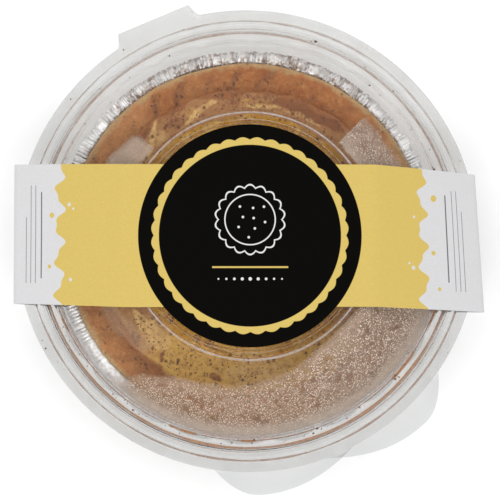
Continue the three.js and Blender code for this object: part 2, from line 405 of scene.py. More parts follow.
class NodeSheet:
    """Adds nodes to a tree and links them, so that a finish reads from its first node to its last."""

    def __init__(self, tree: bpy.types.NodeTree) -> None:
        """Works on the given tree."""
        self.tree = tree
        self.origin: Socket | None = None

    def add(self, kind: str, inputs: dict[Any, Any] | None = None, **settings: Any) -> bpy.types.Node:
        """Adds one node.

        Args:
            kind: Its type without the word ShaderNode in front.
            inputs: Socket name or number to a value or to another node's output.
            settings: Its other settings.

        Returns:
            The node.
        """
        node = self.tree.nodes.new(kind if kind.startswith("NodeGroup") else "ShaderNode" + kind)
        for key, value in settings.items():
            setattr(node, key, value)
        for key, value in (inputs or {}).items():
            if isinstance(value, Socket):
                self.tree.links.new(value, node.inputs[key])
            else:
                node.inputs[key].default_value = value
        return node

    def math(self, operation: str, *values: Any, clamp: bool = False) -> Socket:
        """Result of a math node on numbers or outputs."""
        return self.add("Math", dict(enumerate(values)), operation=operation, use_clamp=clamp).outputs[0]

    def times(self, first: Any, second: Any) -> Socket:
        """Product of two numbers or outputs."""
        return self.math("MULTIPLY", first, second)

    def scaled(self, value: Any, factor: Any, start: Any) -> Socket:
        """start + factor * value."""
        return self.math("MULTIPLY_ADD", value, factor, start)

    def step(self, value: Any, low: float, high: float) -> Socket:
        """Goes smoothly from 0 to 1 as value goes from low to high, with low above high turned round."""
        inputs = {0: value, 1: low, 2: high, 3: 0.0, 4: 1.0}
        return self.add("MapRange", inputs, interpolation_type="SMOOTHSTEP").outputs[0]

    def mix(self, amount: Any, first: Any, second: Any) -> Socket:
        """First colour where amount is 0 and second where it is 1."""
        first, second = (c if isinstance(c, Socket) else (*c, 1.0) for c in (first, second))
        return self.add("Mix", {0: amount, 6: first, 7: second}, data_type="RGBA").outputs[2]

    def coats(self, color: Any, *coats: tuple[Any, Color]) -> Socket:
        """Lays coats over a colour one after another.

        Args:
            color: The colour below.
            coats: Amount and colour of each coat, the lowest first.

        Returns:
            The colour on top.
        """
        for amount, tone in coats:
            color = self.mix(amount, color, tone)
        return color

    def value(self, name: str) -> Socket:
        """A number that the piece carries."""
        return self.add("Attribute", attribute_name=name).outputs["Fac"]

    def place(self) -> Socket:
        """The place on the piece, in metres, from one node for the whole sheet."""
        self.origin = self.origin or self.add("TexCoord").outputs["Object"]
        return self.origin

    def group(self, tree: bpy.types.NodeTree, *values: Any) -> Socket:
        """First output of a shared group with its own values."""
        return self.add("Group", dict(enumerate(values)), node_tree=tree).outputs[0]

    def clouds(self, scale: float, low: float = 0.3, high: float = 0.7) -> Socket:
        """Cloudy patches at a scale per metre: noise, eased from 0 at low to 1 at high."""
        return self.group(mottle(), self.place(), scale, low, high)

    def grains(self, scale: float, size: float, keep: float) -> Socket:
        """Soft round grains at a scale per metre, for the share keep of the scattered points."""
        return self.group(speckle(), self.place(), scale, size, keep)


class Finish(NodeSheet):
    """A material of its own, with a Principled shader."""

    def __init__(self, name: str, **plain: Any) -> None:
        """Starts the material.

        Args:
            name: Name of the material.
            plain: Shader inputs that are the same all over, with _ for each space in a name.
        """
        self.material = bpy.data.materials.new(name)
        self.material.use_nodes = True
        self.material.node_tree.nodes.clear()
        super().__init__(self.material.node_tree)
        inputs = {key.replace("_", " "): value for key, value in plain.items()}
        if "Base Color" in inputs:
            inputs["Base Color"] = (*inputs["Base Color"], 1.0)
        self.shader = self.add("BsdfPrincipled", inputs)
        self.output = self.add("OutputMaterial", {"Surface": self.shader.outputs[0]})

    def feed(self, **outputs: Socket) -> None:
        """Links outputs to the shader's inputs, with _ for each space in a name."""
        for key, output in outputs.items():
            self.tree.links.new(output, self.shader.inputs[key.replace("_", " ")])

    def bump(self, height: Socket, depth_mm: float) -> None:
        """Gives the shader relief from a height of 0 to 1, depth_mm deep."""
        node = self.add("Bump", {"Height": height, "Distance": depth_mm * MM, "Strength": 1.0})
        self.feed(Normal=node.outputs[0])


def new_group(name: str, inputs: Sequence[tuple[str, str]], build: Callable) -> bpy.types.NodeTree:
    """A shared effect, built the first time it is asked for.

    Args:
        name: Name of the group.
        inputs: Names and socket types of its inputs.
        build: Takes the sheet and the input node, and returns the output to hand on.

    Returns:
        The node group, with one number as its output.
    """
    if name in bpy.data.node_groups:
        return bpy.data.node_groups[name]
    tree = bpy.data.node_groups.new(name, "ShaderNodeTree")
    for label, kind in inputs:
        tree.interface.new_socket(label, in_out="INPUT", socket_type="NodeSocket" + kind)
    tree.interface.new_socket("Amount", in_out="OUTPUT", socket_type="NodeSocketFloat")
    sheet = NodeSheet(tree)
    entry = sheet.add("NodeGroupInput")
    result = build(sheet, entry)
    sheet.add("NodeGroupOutput", {0: result})
    return tree


def mottle() -> bpy.types.NodeTree:
    """Cloudy patches: noise, eased from 0 at Low to 1 at High.

    Returns:
        The shared group.
    """

    def build(sheet: NodeSheet, entry: bpy.types.Node) -> Socket:
        """Noise and then a range.

        Args:
            sheet: Where the nodes go.
            entry: The group's inputs.

        Returns:
            The amount.
        """
        noise = sheet.add("TexNoise", {"Vector": entry.outputs[0], "Scale": entry.outputs[1],
                                       "Detail": 5.0, "Roughness": 0.6})
        return sheet.step(noise.outputs["Fac"], entry.outputs[2], entry.outputs[3])

    kinds = [("Vector", "Vector"), ("Scale", "Float"), ("Low", "Float"), ("High", "Float")]
    return new_group("cloudy patches", kinds, build)


def speckle() -> bpy.types.NodeTree:
    """Soft round grains: 1 near a scattered point and 0 past Size, for the share Keep of the points.

    Returns:
        The shared group.
    """

    def build(sheet: NodeSheet, entry: bpy.types.Node) -> Socket:
        """Distance to the nearest point, kept where that point's random number is small.

        Args:
            sheet: Where the nodes go.
            entry: The group's inputs.

        Returns:
            The amount.
        """
        cells = sheet.add("TexVoronoi", {"Vector": entry.outputs[0], "Scale": entry.outputs[1]})
        share = sheet.math("DIVIDE", cells.outputs["Distance"], entry.outputs[2])
        near = sheet.math("SUBTRACT", 1.0, share)
        near = sheet.math("MULTIPLY", near, 2.2, clamp=True)
        split = sheet.add("SeparateColor", {0: cells.outputs["Color"]})
        kept = sheet.math("LESS_THAN", split.outputs[0], entry.outputs[3])
        return sheet.times(near, kept)

    kinds = [("Vector", "Vector"), ("Scale", "Float"), ("Size", "Float"), ("Keep", "Float")]
    return new_group("small grains", kinds, build)


# ---------------------------------------------------------------- finishes


@dataclass(frozen=True)
class ClearSheet:
    """Thin clear thermoformed plastic. Light falls through it onto what lies below."""

    name: str
    tint: Color = (0.86, 0.86, 0.855)
    smear: Color = (0.84, 0.835, 0.825)
    roughness: float = 0.02
    ior: float = 1.27
    # Paler tint that the sheet takes where it carries painted light; the greyer tint below is painted shade.
    shelf: Color = (0.97, 0.955, 0.94)
    dim: Color = (0.765, 0.77, 0.775)

    def material(self) -> Material:
        """Glass-like shader with faint smears, painted light and painted shade, that lets shadow rays
        straight through.

        Returns:
            The material.
        """
        sheet = Finish(self.name, Roughness=self.roughness, IOR=self.ior, Transmission_Weight=1.0)
        # The two carried tints paint light (paler) and shade (greyer) onto the clear sheet.
        sheet.feed(Base_Color=sheet.coats(self.tint, (sheet.clouds(90.0, 0.42), self.smear),
                                          (sheet.value("shelf"), self.shelf), (sheet.value("dim"), self.dim)))
        passing = sheet.add("BsdfTransparent", {"Color": (*(c ** 0.25 for c in self.tint), 1.0)})
        shadow = sheet.add("LightPath").outputs["Is Shadow Ray"]
        both = sheet.add("MixShader", {0: shadow, 1: sheet.shader.outputs[0], 2: passing.outputs[0]})
        sheet.tree.links.new(both.outputs[0], sheet.output.inputs["Surface"])
        return sheet.material


@dataclass(frozen=True)
class Mist:
    """A veil of very fine drops, which takes on the pie's colour."""

    color: Color = (0.475, 0.305, 0.188)
    grey: Color = (0.49, 0.395, 0.325)

    def material(self) -> Material:
        """Beige and see-through, thicker or thinner in clouds, thickest where the piece carries most.

        Returns:
            The material.
        """
        sheet = Finish("mist under the lid", Roughness=0.7)
        amount = sheet.times(sheet.value("mist"), sheet.scaled(sheet.clouds(190.0), -0.26, 1.08))
        fine = sheet.scaled(sheet.clouds(1500.0), 0.30, 0.85)
        sheet.feed(Alpha=sheet.math("MULTIPLY", amount, fine, clamp=True),
                   Base_Color=sheet.mix(sheet.value("grey"), self.color, self.grey))
        return sheet.material


@dataclass(frozen=True)
class BeadedWater:
    """Hanging drops with a painted highlight on one side and, on the other, painted shade as brown as the pie
    that shows through them.
    """

    light: Color = (0.93, 0.80, 0.70)
    dark: Color = (0.27, 0.108, 0.038)
    cover: float = 0.9

    def material(self) -> Material:
        """Colour from the shade that each point carries, a painted highlight and painted shade, with a wet
        shine.

        Returns:
            The material.
        """
        sheet = Finish("condensed drops", Roughness=0.22, Alpha=self.cover)
        # The carried shade paints a highlight on the upper left of each drop and shade on its other side.
        shade = sheet.scaled(sheet.clouds(2400.0), 0.12, sheet.value("shade"))
        sheet.feed(Base_Color=sheet.mix(sheet.math("MINIMUM", shade, 1.0), self.light, self.dark))
        return sheet.material


@dataclass(frozen=True)
class CreaseTint:
    """Painted light along the creases of the clear sheets: painted highlights and painted brown reflections.
    """

    white: Color = (0.56, 0.50, 0.475)
    brown: Color = (0.35, 0.20, 0.125)
    orange: Color = (0.40, 0.185, 0.07)

    def material(self) -> Material:
        """Colour and cover from what each line carries, broken up by fine noise.

        A line's brown of 0 is a painted highlight, 1 a painted brown reflection and 2 a painted orange
        reflection.

        Returns:
            The material.
        """
        sheet = Finish("creases of the sheet", Roughness=0.5)
        # White paints a highlight; brown and orange paint reflections of the pie.
        broken = sheet.scaled(sheet.clouds(800.0, 0.28, 0.6), 0.45, 0.6)
        amount = sheet.times(sheet.value("strength"), broken)
        carried = sheet.value("brown")
        brown = sheet.math("MINIMUM", carried, 1.0)
        orange = sheet.math("SUBTRACT", carried, 1.0, clamp=True)
        sheet.feed(Alpha=sheet.math("MINIMUM", amount, 1.0),
                   Base_Color=sheet.coats(self.white, (brown, self.brown), (orange, self.orange)))
        return sheet.material


@dataclass(frozen=True)
class BrightFoil:
    """Pleated pie foil, browner along both sides of its lip: oven stains with painted shade and a painted
    reflection of the pastry.
    """

    color: Color = (0.86, 0.86, 0.865)
    stain: Color = (0.37, 0.275, 0.22)

    def material(self) -> Material:
        """Bright metal, browner in patches where the piece carries stain and painted shade.

        Returns:
            The material.
        """
        sheet = Finish("bright foil", Metallic=1.0)
        # Browner patches: oven stains mixed with painted shade and a painted reflection of the pastry.
        stained = sheet.times(sheet.clouds(1000.0, 0.38, 0.56), sheet.value("stain"))
        sheet.feed(Base_Color=sheet.mix(stained, self.color, self.stain),
                   Roughness=sheet.scaled(sheet.clouds(700.0), 0.15, 0.40))
        sheet.bump(sheet.clouds(900.0), 0.03)
        return sheet.material


@dataclass(frozen=True)
class BakedPastry:
    """Shortcrust: tan at its edge, orange brown on its slope, darkest where burnt and in the crimps, whose
    dark is painted shade.
    """

    body: Color = (0.535, 0.190, 0.048)
    pale: Color = (0.64, 0.290, 0.092)
    deep: Color = (0.385, 0.110, 0.024)
    edge: Color = (0.55, 0.345, 0.155)
    dark: Color = (0.135, 0.058, 0.030)
    light: Color = (0.78, 0.400, 0.165)

    def material(self) -> Material:
        """Colour from the bake and the painted crimp shade that the piece carries, with grain, flecks where
        burnt, and relief.

        Returns:
            The material.
        """
        sheet = Finish("baked pastry", Specular_IOR_Level=0.2)
        cloud = sheet.clouds(170.0, 0.36, 0.66)
        grain = sheet.clouds(1500.0, 0.36, 0.64)
        # The crimps are painted dark as painted shade in their grooves, mixed with random scorch.
        crimp_shade_and_scorch, burnt = sheet.value("crimp_shade_and_scorch"), sheet.value("burnt")
        charred = sheet.math("MULTIPLY_ADD", burnt, 1.8, sheet.times(crimp_shade_and_scorch, 0.3), clamp=True)
        flecks = sheet.times(sheet.grains(820.0, 0.48, 0.80), charred)
        color = sheet.coats(self.body, (cloud, self.deep),
                            (sheet.times(sheet.clouds(480.0, 0.36, 0.66), 0.6), self.pale),
                            (sheet.times(sheet.clouds(1100.0, 0.44, 0.58), 0.45), self.deep),
                            (sheet.value("light"), self.light), (sheet.value("rim"), self.edge),
                            (sheet.times(crimp_shade_and_scorch, 0.34), self.dark), (sheet.times(burnt, 0.20), self.dark),
                            (sheet.times(flecks, 0.92), self.dark),
                            (sheet.times(sheet.grains(560.0, 0.34, 0.22), 0.6), self.dark),
                            (sheet.times(grain, 0.24), self.dark))
        sheet.feed(Base_Color=color, Roughness=sheet.scaled(cloud, -0.12, 0.75))
        sheet.bump(grain, 0.12)
        return sheet.material


@dataclass(frozen=True)
class CustardSkin:
    """Baked custard skin: rosy tan, golden or creamy in places, toasted in others, with nutmeg."""

    body: Color = (0.450, 0.215, 0.082)
    gold: Color = (0.755, 0.445, 0.105)
    cream: Color = (0.80, 0.510, 0.195)
    amber: Color = (0.56, 0.270, 0.016)
    toast: Color = (0.275, 0.098, 0.032)
    crusty: Color = (0.36, 0.135, 0.042)
    nutmeg: Color = (0.130, 0.055, 0.030)

    def material(self) -> Material:
        """Colour from the patches that the piece carries, with fine nutmeg and a soft shine.

        Returns:
            The material.
        """
        sheet = Finish("custard skin", Subsurface_Radius=(0.003, 0.0015, 0.0006), Subsurface_Scale=0.3,
                       Subsurface_Weight=0.08, Specular_IOR_Level=0.2)
        cloud = sheet.clouds(330.0, 0.36, 0.66)
        grain = sheet.clouds(900.0)
        amber = sheet.times(sheet.value("amber"), sheet.clouds(230.0, 0.38, 0.54))
        color = sheet.coats(self.body, (self._ragged(sheet, "gold", cloud), self.gold),
                            (self._ragged(sheet, "cream", cloud), self.cream), (amber, self.amber),
                            (self._ragged(sheet, "toast", grain), self.toast),
                            (self._ragged(sheet, "crusty", cloud), self.crusty),
                            (sheet.times(sheet.clouds(620.0, 0.46, 0.66), 0.34), self.toast),
                            (sheet.times(sheet.grains(520.0, 0.40, 0.36), 0.66), self.toast),
                            (sheet.times(sheet.grains(900.0, 0.38, 0.34), 0.45), self.nutmeg),
                            (sheet.times(sheet.grains(520.0, 0.34, 0.26), 0.65), self.nutmeg))
        sheet.feed(Base_Color=color, Roughness=sheet.scaled(grain, 0.16, 0.50))
        sheet.bump(grain, 0.06)
        return sheet.material

    @staticmethod
    def _ragged(sheet: NodeSheet, name: str, noise: Socket) -> Socket:
        """A carried amount whose edges are broken up by noise."""
        return sheet.step(sheet.scaled(noise, 0.45, sheet.value(name)), 0.34, 1.22)


@dataclass(frozen=True)
class ShadedGrains:
    """Small grains, each with a shade of its own between two colours."""

    name: str
    light: Color
    dark: Color

    def material(self) -> Material:
        """Colour from each grain's shade, with fine grain and relief.

        Returns:
            The material.
        """
        sheet = Finish(self.name, Roughness=0.8, Specular_IOR_Level=0.25)
        grain = sheet.clouds(2600.0)
        shade = sheet.scaled(grain, 0.3, sheet.value("shade"))
        sheet.feed(Base_Color=sheet.mix(sheet.math("MINIMUM", shade, 1.0), self.light, self.dark))
        sheet.bump(grain, 0.04)
        return sheet.material


NUTMEG = ShadedGrains("ground nutmeg", (0.320, 0.135, 0.062), (0.085, 0.042, 0.028))
CRUMBS = ShadedGrains("loose crumbs", (0.36, 0.155, 0.065), (0.075, 0.036, 0.022))


@dataclass(frozen=True)
class PaleFloor:
    """Plain matt studio floor."""

    color: Color = (0.985, 0.985, 0.985)

    def material(self) -> Material:
        """Plain matt white."""
        return Finish("pale floor", Base_Color=self.color, Roughness=0.9, Specular_IOR_Level=0.0).material


@dataclass(frozen=True)
class Drawing:
    """Shapes drawn from two measures of a piece, in mm. Each is 1 inside and 0 outside."""

    sheet: NodeSheet
    along: Socket
    across: Socket

    def away(self, x: float = 0.0, y: float = 0.0) -> Socket:
        """Distance from a place, sqrt(dx^2 + dy^2).

        Args:
            x: The place along.
            y: The place across.

        Returns:
            The distance in mm.
        """
        squares = []
        for measure, middle in ((self.along, x), (self.across, y)):
            way = self.sheet.math("SUBTRACT", measure, middle)
            squares.append(self.sheet.times(way, way))
        return self.sheet.math("SQRT", self.sheet.math("ADD", *squares))

    def scallops(self, count: int, depth: float, radius: float, y: float = 0.0) -> Socket:
        """Edge of a scalloped round about (0, y): radius + depth * |sin(count * angle)|.

        Args:
            count: Half the number of scallops.
            depth: How deep they are.
            radius: Where they meet.
            y: The middle across.

        Returns:
            The radius of the edge in each direction.
        """
        angle = self.sheet.math("ARCTAN2", self.sheet.math("SUBTRACT", self.across, y), self.along)
        wave = self.sheet.math("ABSOLUTE", self.sheet.math("SINE", self.sheet.times(angle, float(count))))
        return self.sheet.scaled(wave, depth, radius)

    def near(self, value: Socket, middle: Any, half: float, soft: float) -> Socket:
        """1 where a value is within half of the middle, eased over soft to both sides of that."""
        off = self.sheet.math("ABSOLUTE", self.sheet.math("SUBTRACT", value, middle))
        return self.sheet.step(off, half + soft, half - soft)

    def dot(self, x: float, y: float, size: float) -> Socket:
        """A round spot of the given radius."""
        return self.sheet.step(self.away(x, y), size + 0.07, size - 0.07)


@dataclass(frozen=True)
class PrintedPaper:
    """Satin paper, white inside. Its print is a yellow field with waved ends and a black round face.

    Spots and gaps are round, as place along, place across and radius. A rule is a place along, the
    ends across and half its width.
    """

    paper: Color = (0.660, 0.655, 0.665)
    yellow: Color = (0.655, 0.487, 0.138)
    black: Color = (0.0018, 0.0016, 0.0013)
    line: Color = (0.76, 0.76, 0.745)
    hairline: Color = (0.16, 0.16, 0.17)
    face_radius: float = 32.4
    left_end: float = -57.2
    right_end: float = 52.4
    tart_y: float = 4.6
    spots: Rows = (
        (-59.8, 5.6, 0.8), (-60.6, -9.5, 0.6), (56.6, 12.2, 1.0), (55.9, -4.0, 0.7), (57.4, -14.6, 0.6))
    gaps: Rows = (
        (-54.0, 8.8, 0.55), (-52.6, 7.6, 0.35), (48.8, -8.7, 0.6), (47.5, -7.4, 0.35), (49.5, 6.3, 0.4),
        (-53.5, -13.2, 0.5))
    rules: Rows = (
        (60.8, -12.5, 13.5, 0.22), (63.2, -15.0, 15.0, 0.10), (64.9, -15.0, 15.0, 0.10),
        (66.6, -15.0, 9.0, 0.10), (-63.4, -13.0, 12.5, 0.20), (-65.4, -14.5, 14.5, 0.10),
        (-67.0, -14.5, 14.5, 0.10), (-68.6, -14.5, 5.0, 0.10))

    def material(self) -> Material:
        """Print worked out from the band's own measures along and across, in mm.

        Returns:
            The material.
        """
        sheet = Finish("printed paper", Specular_IOR_Level=0.03)
        draw = Drawing(sheet, sheet.value("along"), sheet.value("across"))
        fibre = sheet.clouds(1800.0)
        face = sheet.step(draw.away(), self.face_radius + 0.05, self.face_radius - 0.05)
        top = sheet.step(sheet.value("height"), 40.0, 41.0)
        print_color = sheet.coats(self.paper, (self._field(draw), self.yellow),
                                  (self._rules(draw), self.hairline), (sheet.times(face, top), self.black),
                                  (sheet.times(top, self._ring(draw)), self.yellow),
                                  (sheet.times(top, self._tart(draw)), self.line))
        color = sheet.mix(sheet.value("printed"), self.paper, print_color)
        sheet.feed(Base_Color=sheet.mix(sheet.times(fibre, 0.06), color, (0.0, 0.0, 0.0)),
                   Roughness=sheet.scaled(fibre, 0.08, 0.40))
        sheet.bump(fibre, 0.012)
        return sheet.material

    def _field(self, draw: Drawing) -> Socket:
        """Yellow between two waved ends, with loose spots past them and pale gaps inside.

        An end waves by 1.5 sin(0.62 y) + 0.6 sin(1.37 y + 1.1).

        Args:
            draw: Where it is drawn.

        Returns:
            1 on yellow and 0 on white.
        """
        sheet = draw.sheet
        wave = sheet.math("SINE", sheet.times(draw.across, 0.62))
        ripple = sheet.math("SINE", sheet.scaled(draw.across, 1.37, 1.1))
        place = sheet.math("ADD", draw.along, sheet.scaled(wave, 1.5, sheet.times(ripple, 0.6)))
        inside = sheet.times(sheet.step(place, self.left_end - 0.1, self.left_end + 0.1),
                             sheet.step(place, self.right_end + 0.1, self.right_end - 0.1))
        for spot in self.spots:
            inside = sheet.math("MAXIMUM", inside, draw.dot(*spot))
        for gap in self.gaps:
            inside = sheet.math("SUBTRACT", inside, draw.dot(*gap), clamp=True)
        return inside

    def _rules(self, draw: Drawing) -> Socket:
        """Fine grey rules on the white ends.

        Args:
            draw: Where it is drawn.

        Returns:
            1 on a rule.
        """
        total: Any = 0.0
        for x, low, high, half in self.rules:
            rule = draw.sheet.times(draw.near(draw.along, x, half, 0.06),
                                    draw.near(draw.across, (low + high) / 2, (high - low) / 2, 0.1))
            total = draw.sheet.math("MAXIMUM", total, rule)
        return total

    def _ring(self, draw: Drawing) -> Socket:
        """A yellow ring whose outer side is scalloped like a pie's rim, and a short rule under the middle.

        Args:
            draw: Where it is drawn.

        Returns:
            1 on yellow.
        """
        sheet = draw.sheet
        radius = draw.away()
        outer = sheet.math("SUBTRACT", radius, draw.scallops(20, 0.75, 27.9))
        ring = sheet.times(sheet.step(outer, 0.07, -0.07), sheet.step(radius, 26.33, 26.47))
        rule = sheet.times(draw.near(draw.across, -9.2, 0.25, 0.07), draw.near(draw.along, 0.0, 11.0, 0.1))
        return sheet.math("MAXIMUM", ring, rule)

    def _tart(self, draw: Drawing) -> Socket:
        """White line drawing of a plain round tart from above, with spots, over a row of small dots.

        The spots lie on a spiral: spot k at 1.9 sqrt(k + 0.35) mm and 2.4 k + 0.4 radians.

        Args:
            draw: Where it is drawn.

        Returns:
            1 on a line.
        """
        away = draw.away(0.0, self.tart_y)
        rim = draw.near(away, draw.scallops(9, 0.95, 9.2, self.tart_y), 0.23, 0.07)
        drawn = draw.sheet.math("MAXIMUM", rim, draw.near(away, 7.3, 0.18, 0.06))
        dots = [(1.9 * math.sqrt(k + 0.35) * math.cos(2.4 * k + 0.4),
                 1.9 * math.sqrt(k + 0.35) * math.sin(2.4 * k + 0.4) + self.tart_y, 0.36) for k in range(9)]
        dots += [(2.3 * k, -12.6, 0.5 - 0.06 * abs(k)) for k in range(-4, 5)]
        for dot in dots:
            drawn = draw.sheet.math("MAXIMUM", drawn, draw.dot(*dot))
        return drawn


# ---------------------------------------------------------------- clear tray and lid


@dataclass
class Flange:
    """Outline that the tray and the lid share: round, with a straight hinge and two pull tabs."""

    radius: float = 69.3
    hinge_at: float = 113.2
    hinge_half: float = 9.2
    hinge_chord: float = 72.15
    hinge_fillet: float = 2.2
    tabs_at: float = 293.3
    tab_reach: float = 6.9
    tab_far: float = 31.8
    tab_crest: float = 20.8
    tab_near: float = -3.6

    def hinge_share(self, degrees: Array) -> Array:
        """1 along the hinge, eased to 0 over its fillets."""
        off = np.abs(turn_from(degrees, self.hinge_at))
        return np.clip((self.hinge_half + self.hinge_fillet - off) / self.hinge_fillet, 0.0, 1.0)

    def reach(self, degrees: Array, side: Side) -> Array:
        """Radius of the outline.

        The hinge adds the way from the circle to its straight fold. A tab rises as a sine at its far
        end and falls as a cosine towards the other tab.

        Args:
            degrees: Directions round the axis.
            side: Which tab the piece has.

        Returns:
            Radii in mm.
        """
        off = np.minimum(np.abs(turn_from(degrees, self.hinge_at)), self.hinge_half)
        chord = self.hinge_chord / np.cos(np.radians(off)) - self.radius
        hinge = chord * self.hinge_share(degrees) ** 2
        turned = turn_from(degrees, self.tabs_at) * side.value
        rise = np.clip((self.tab_far - turned) / (self.tab_far - self.tab_crest), 0.0, 1.0)
        fall = np.clip((self.tab_crest - turned) / (self.tab_crest - self.tab_near), 0.0, 1.0)
        tab = np.where(turned >= self.tab_crest, np.sin(rise * math.pi / 2), np.cos(fall * math.pi / 2))
        return self.radius + hinge + self.tab_reach * tab

    def past(self, radius: Array) -> Array:
        """1 on the tabs and the hinge's edge, from 1 mm past the plain flange, and 0 on that."""
        return ease((radius - self.radius - 0.4) / 0.6)

    def corners(self, degrees: Array, side: Side, start: float, height: float) -> Array:
        """Corners of the flange's centre line, with a low rib beside the hinge's fold.

        Args:
            degrees: Directions round the axis.
            side: Which tab the piece has.
            start: Radius where the flange begins.
            height: Height of its middle.

        Returns:
            (direction, corner, 2) radii and heights.
        """
        edge = self.reach(degrees, side)
        rib = 0.30 * self.hinge_share(degrees)
        places = ((start, 0.0), (edge - 1.35, 0.0), (edge - 0.95, rib), (edge - 0.55, 0.0), (edge, 0.0))
        return corner_rows([(r, height + z) for r, z in places], len(edge))


@dataclass
class ClearTray(Part):
    """Bottom of the clear pack: raised panel, foot ring, fluted wall, shelf, snap bead and flange."""

    looks = (Slot.CLEAR, ClearSheet("clear tray sheet"), "tray")
    flange: Flange
    thickness: float = 0.42
    foot_z: float = 0.875
    panel_rise: float = 1.25
    flutes: int = 25
    flute_at: float = 9.4
    flute_depth: float = 1.9
    flute_half: float = 6.4
    flute_foot: float = 0.5
    wall_r: float = 59.4
    wall_z: float = 24.0
    shelf_r: float = 62.2
    shelf_z: float = 24.6
    flange_r: float = 65.9
    flange_z: float = 25.95
    bead_rise: float = 1.05
    fillets: tuple[float, ...] = (0.8, 0.8, 1.5, 1.6, 0.7, 0.6, 0.5, 0.5, 0.5, 0.2, 0.3, 0.2)
    sides: int = 600

    def flute(self, degrees: Array) -> Array:
        """How far a flute stands out: nearly half a disc, (1 - (turn / half width)^2)^0.55.

        Args:
            degrees: Directions round the axis.

        Returns:
            Millimetres outwards.
        """
        pitch = 360.0 / self.flutes
        off = (degrees - self.flute_at + pitch / 2) % pitch - pitch / 2
        return self.flute_depth * np.clip(1.0 - (off / self.flute_half) ** 2, 0.0, 1.0) ** 0.55

    def tints(self, line: Array, degrees: Array, out: Array) -> dict[str, Array]:
        """Where painted light makes the sheet paler and painted shade makes it greyer than plain sheet.

        Painted light falls on the shelf, all of it in front and a broader ring behind, the more so at the
        sides.
        Painted shade greys the flutes' upper ends in front and the tab.

        Args:
            line: The centre line, (direction, point, 2).
            degrees: Directions round the axis.
            out: How far the flutes stand out.

        Returns:
            Amounts from 0 to 1 for the painted light and the painted shade, on both sides of the wall.
        """
        r, turns = line[..., 0], np.radians(degrees)[:, None]
        wall = self.wall_r + 0.2 + out[:, None]
        behind = ease(0.5 + 0.7 * np.sin(turns))
        # Painted light: the pale shelf and the ring behind it.
        shelf = between(r, wall, 62.6, 0.5) * (1.0 - 0.4 * behind)
        ring = (0.62 + 0.34 * np.cos(turns) ** 2) * behind * between(r, 54.4, 62.6, 0.5)
        # Painted shade: grey flute ends in front and the tab.
        pocket = between(r, 59.3, wall, 0.4) * ease((line[..., 1] - 22.6) / 0.8)
        dim = np.maximum(pocket, self.flange.past(r)) * (1.0 - behind)
        return both_sides(shelf=np.maximum(shelf, ring), dim=dim)

    def build(self) -> Piece:
        """Turns the rounded centre line, a thin wall round it, about the axis.

        Returns:
            The tray's object.
        """
        degrees = self.flute_at + directions(self.sides)
        out = self.flute(degrees)
        panel = self.foot_z + self.panel_rise
        bead = self.flange_z + self.bead_rise
        places = ((1.0, panel), (38.6, panel), (40.2, self.foot_z), (46.6, self.foot_z),
                  (49.6 + self.flute_foot * out, 3.2), (self.wall_r + out, self.wall_z),
                  (self.shelf_r, self.shelf_z), (63.0, bead), (65.0, bead))
        corners = corner_rows(places, self.sides)
        edge = self.flange.corners(degrees, Side.TRAY, self.flange_r, self.flange_z)
        line = rounded_line(np.concatenate([corners, edge], axis=1), self.fillets, 5)
        tints = self.tints(line, degrees, out)
        return revolved(thin_wall(line, self.thickness), np.radians(degrees), tints).to_object("clear_tray")


@dataclass
class DomedLid(Part):
    """Top of the clear pack: sunk panel in a stacking ring, bulged slope, groove, bead and flange."""

    looks = (Slot.CLEAR, ClearSheet("clear lid sheet"), "lid")
    flange: Flange
    thickness: float = 0.42
    plateau_z: float = 42.4
    recess: float = 0.6
    dome_r: tuple[float, float] = (36.8, 58.8)
    dome_z: tuple[float, float] = (41.9, 26.3)
    bulge: float = 1.25
    foot: Rows = ((59.7, 25.4), (61.3, 25.4), (62.3, 27.85), (65.3, 27.85))
    flange_r: float = 66.2
    flange_z: float = 26.7
    sides: int = 480

    def slope(self, radius: Array) -> Array:
        """Height of the slope's middle: it falls by the share of its width to the power bulge."""
        u = np.clip((radius - self.dome_r[0]) / (self.dome_r[1] - self.dome_r[0]), 0.0, 1.0)
        return self.dome_z[0] + (self.dome_z[1] - self.dome_z[0]) * u ** self.bulge

    def rise(self, radius: Array) -> Array:
        """Rise of the slope for each mm outwards, taken over 1 mm. It is below 0."""
        return self.slope(radius + 0.5) - self.slope(radius - 0.5)

    def inner(self, radius: Array) -> Array:
        """Height of the slope's inner face, measured straight down."""
        return self.slope(radius) - 0.5 * self.thickness * np.sqrt(1 + self.rise(radius) ** 2)

    def build(self) -> Piece:
        """Turns the rounded centre line, a thin wall round it, about the axis.

        The foot of the slope is painted paler behind as painted light, most of all at the sides, and the tab
        in front greyer as painted shade.

        Returns:
            The lid's object.
        """
        degrees = directions(self.sides)
        top = [(1.0, self.plateau_z - self.recess), (33.2, self.plateau_z - self.recess),
               (33.9, self.plateau_z), (35.9, self.plateau_z)]
        slope = [(r, float(self.slope(np.array(r)))) for r in np.linspace(*self.dome_r, 9)]
        plain = np.array([*top, *slope, *self.foot])
        corners = np.broadcast_to(plain, (self.sides,) + plain.shape)
        edge = self.flange.corners(degrees, Side.LID, self.flange_r, self.flange_z)
        fillets = (0.35, 0.35, 0.9, 0.6, *(9.0,) * 7, 0.7, 0.6, 0.6, 0.5, 0.5, 0.5, 0.2, 0.3, 0.2)
        line = rounded_line(np.concatenate([corners, edge], axis=1), fillets, 4)
        turns = np.radians(degrees)[:, None]
        behind = (0.68 + 0.32 * np.cos(turns) ** 2) * ease(0.55 + 0.7 * np.sin(turns))
        # Painted light at the slope's foot behind, painted shade on the tab in front.
        tints = both_sides(shelf=between(line[..., 0], 55.8, 60.2, 0.8) * behind,
                           dim=self.flange.past(line[..., 0]) * (1.0 - behind))
        return revolved(thin_wall(line, self.thickness), np.radians(degrees), tints).to_object("clear_lid")


# ---------------------------------------------------------------- pie


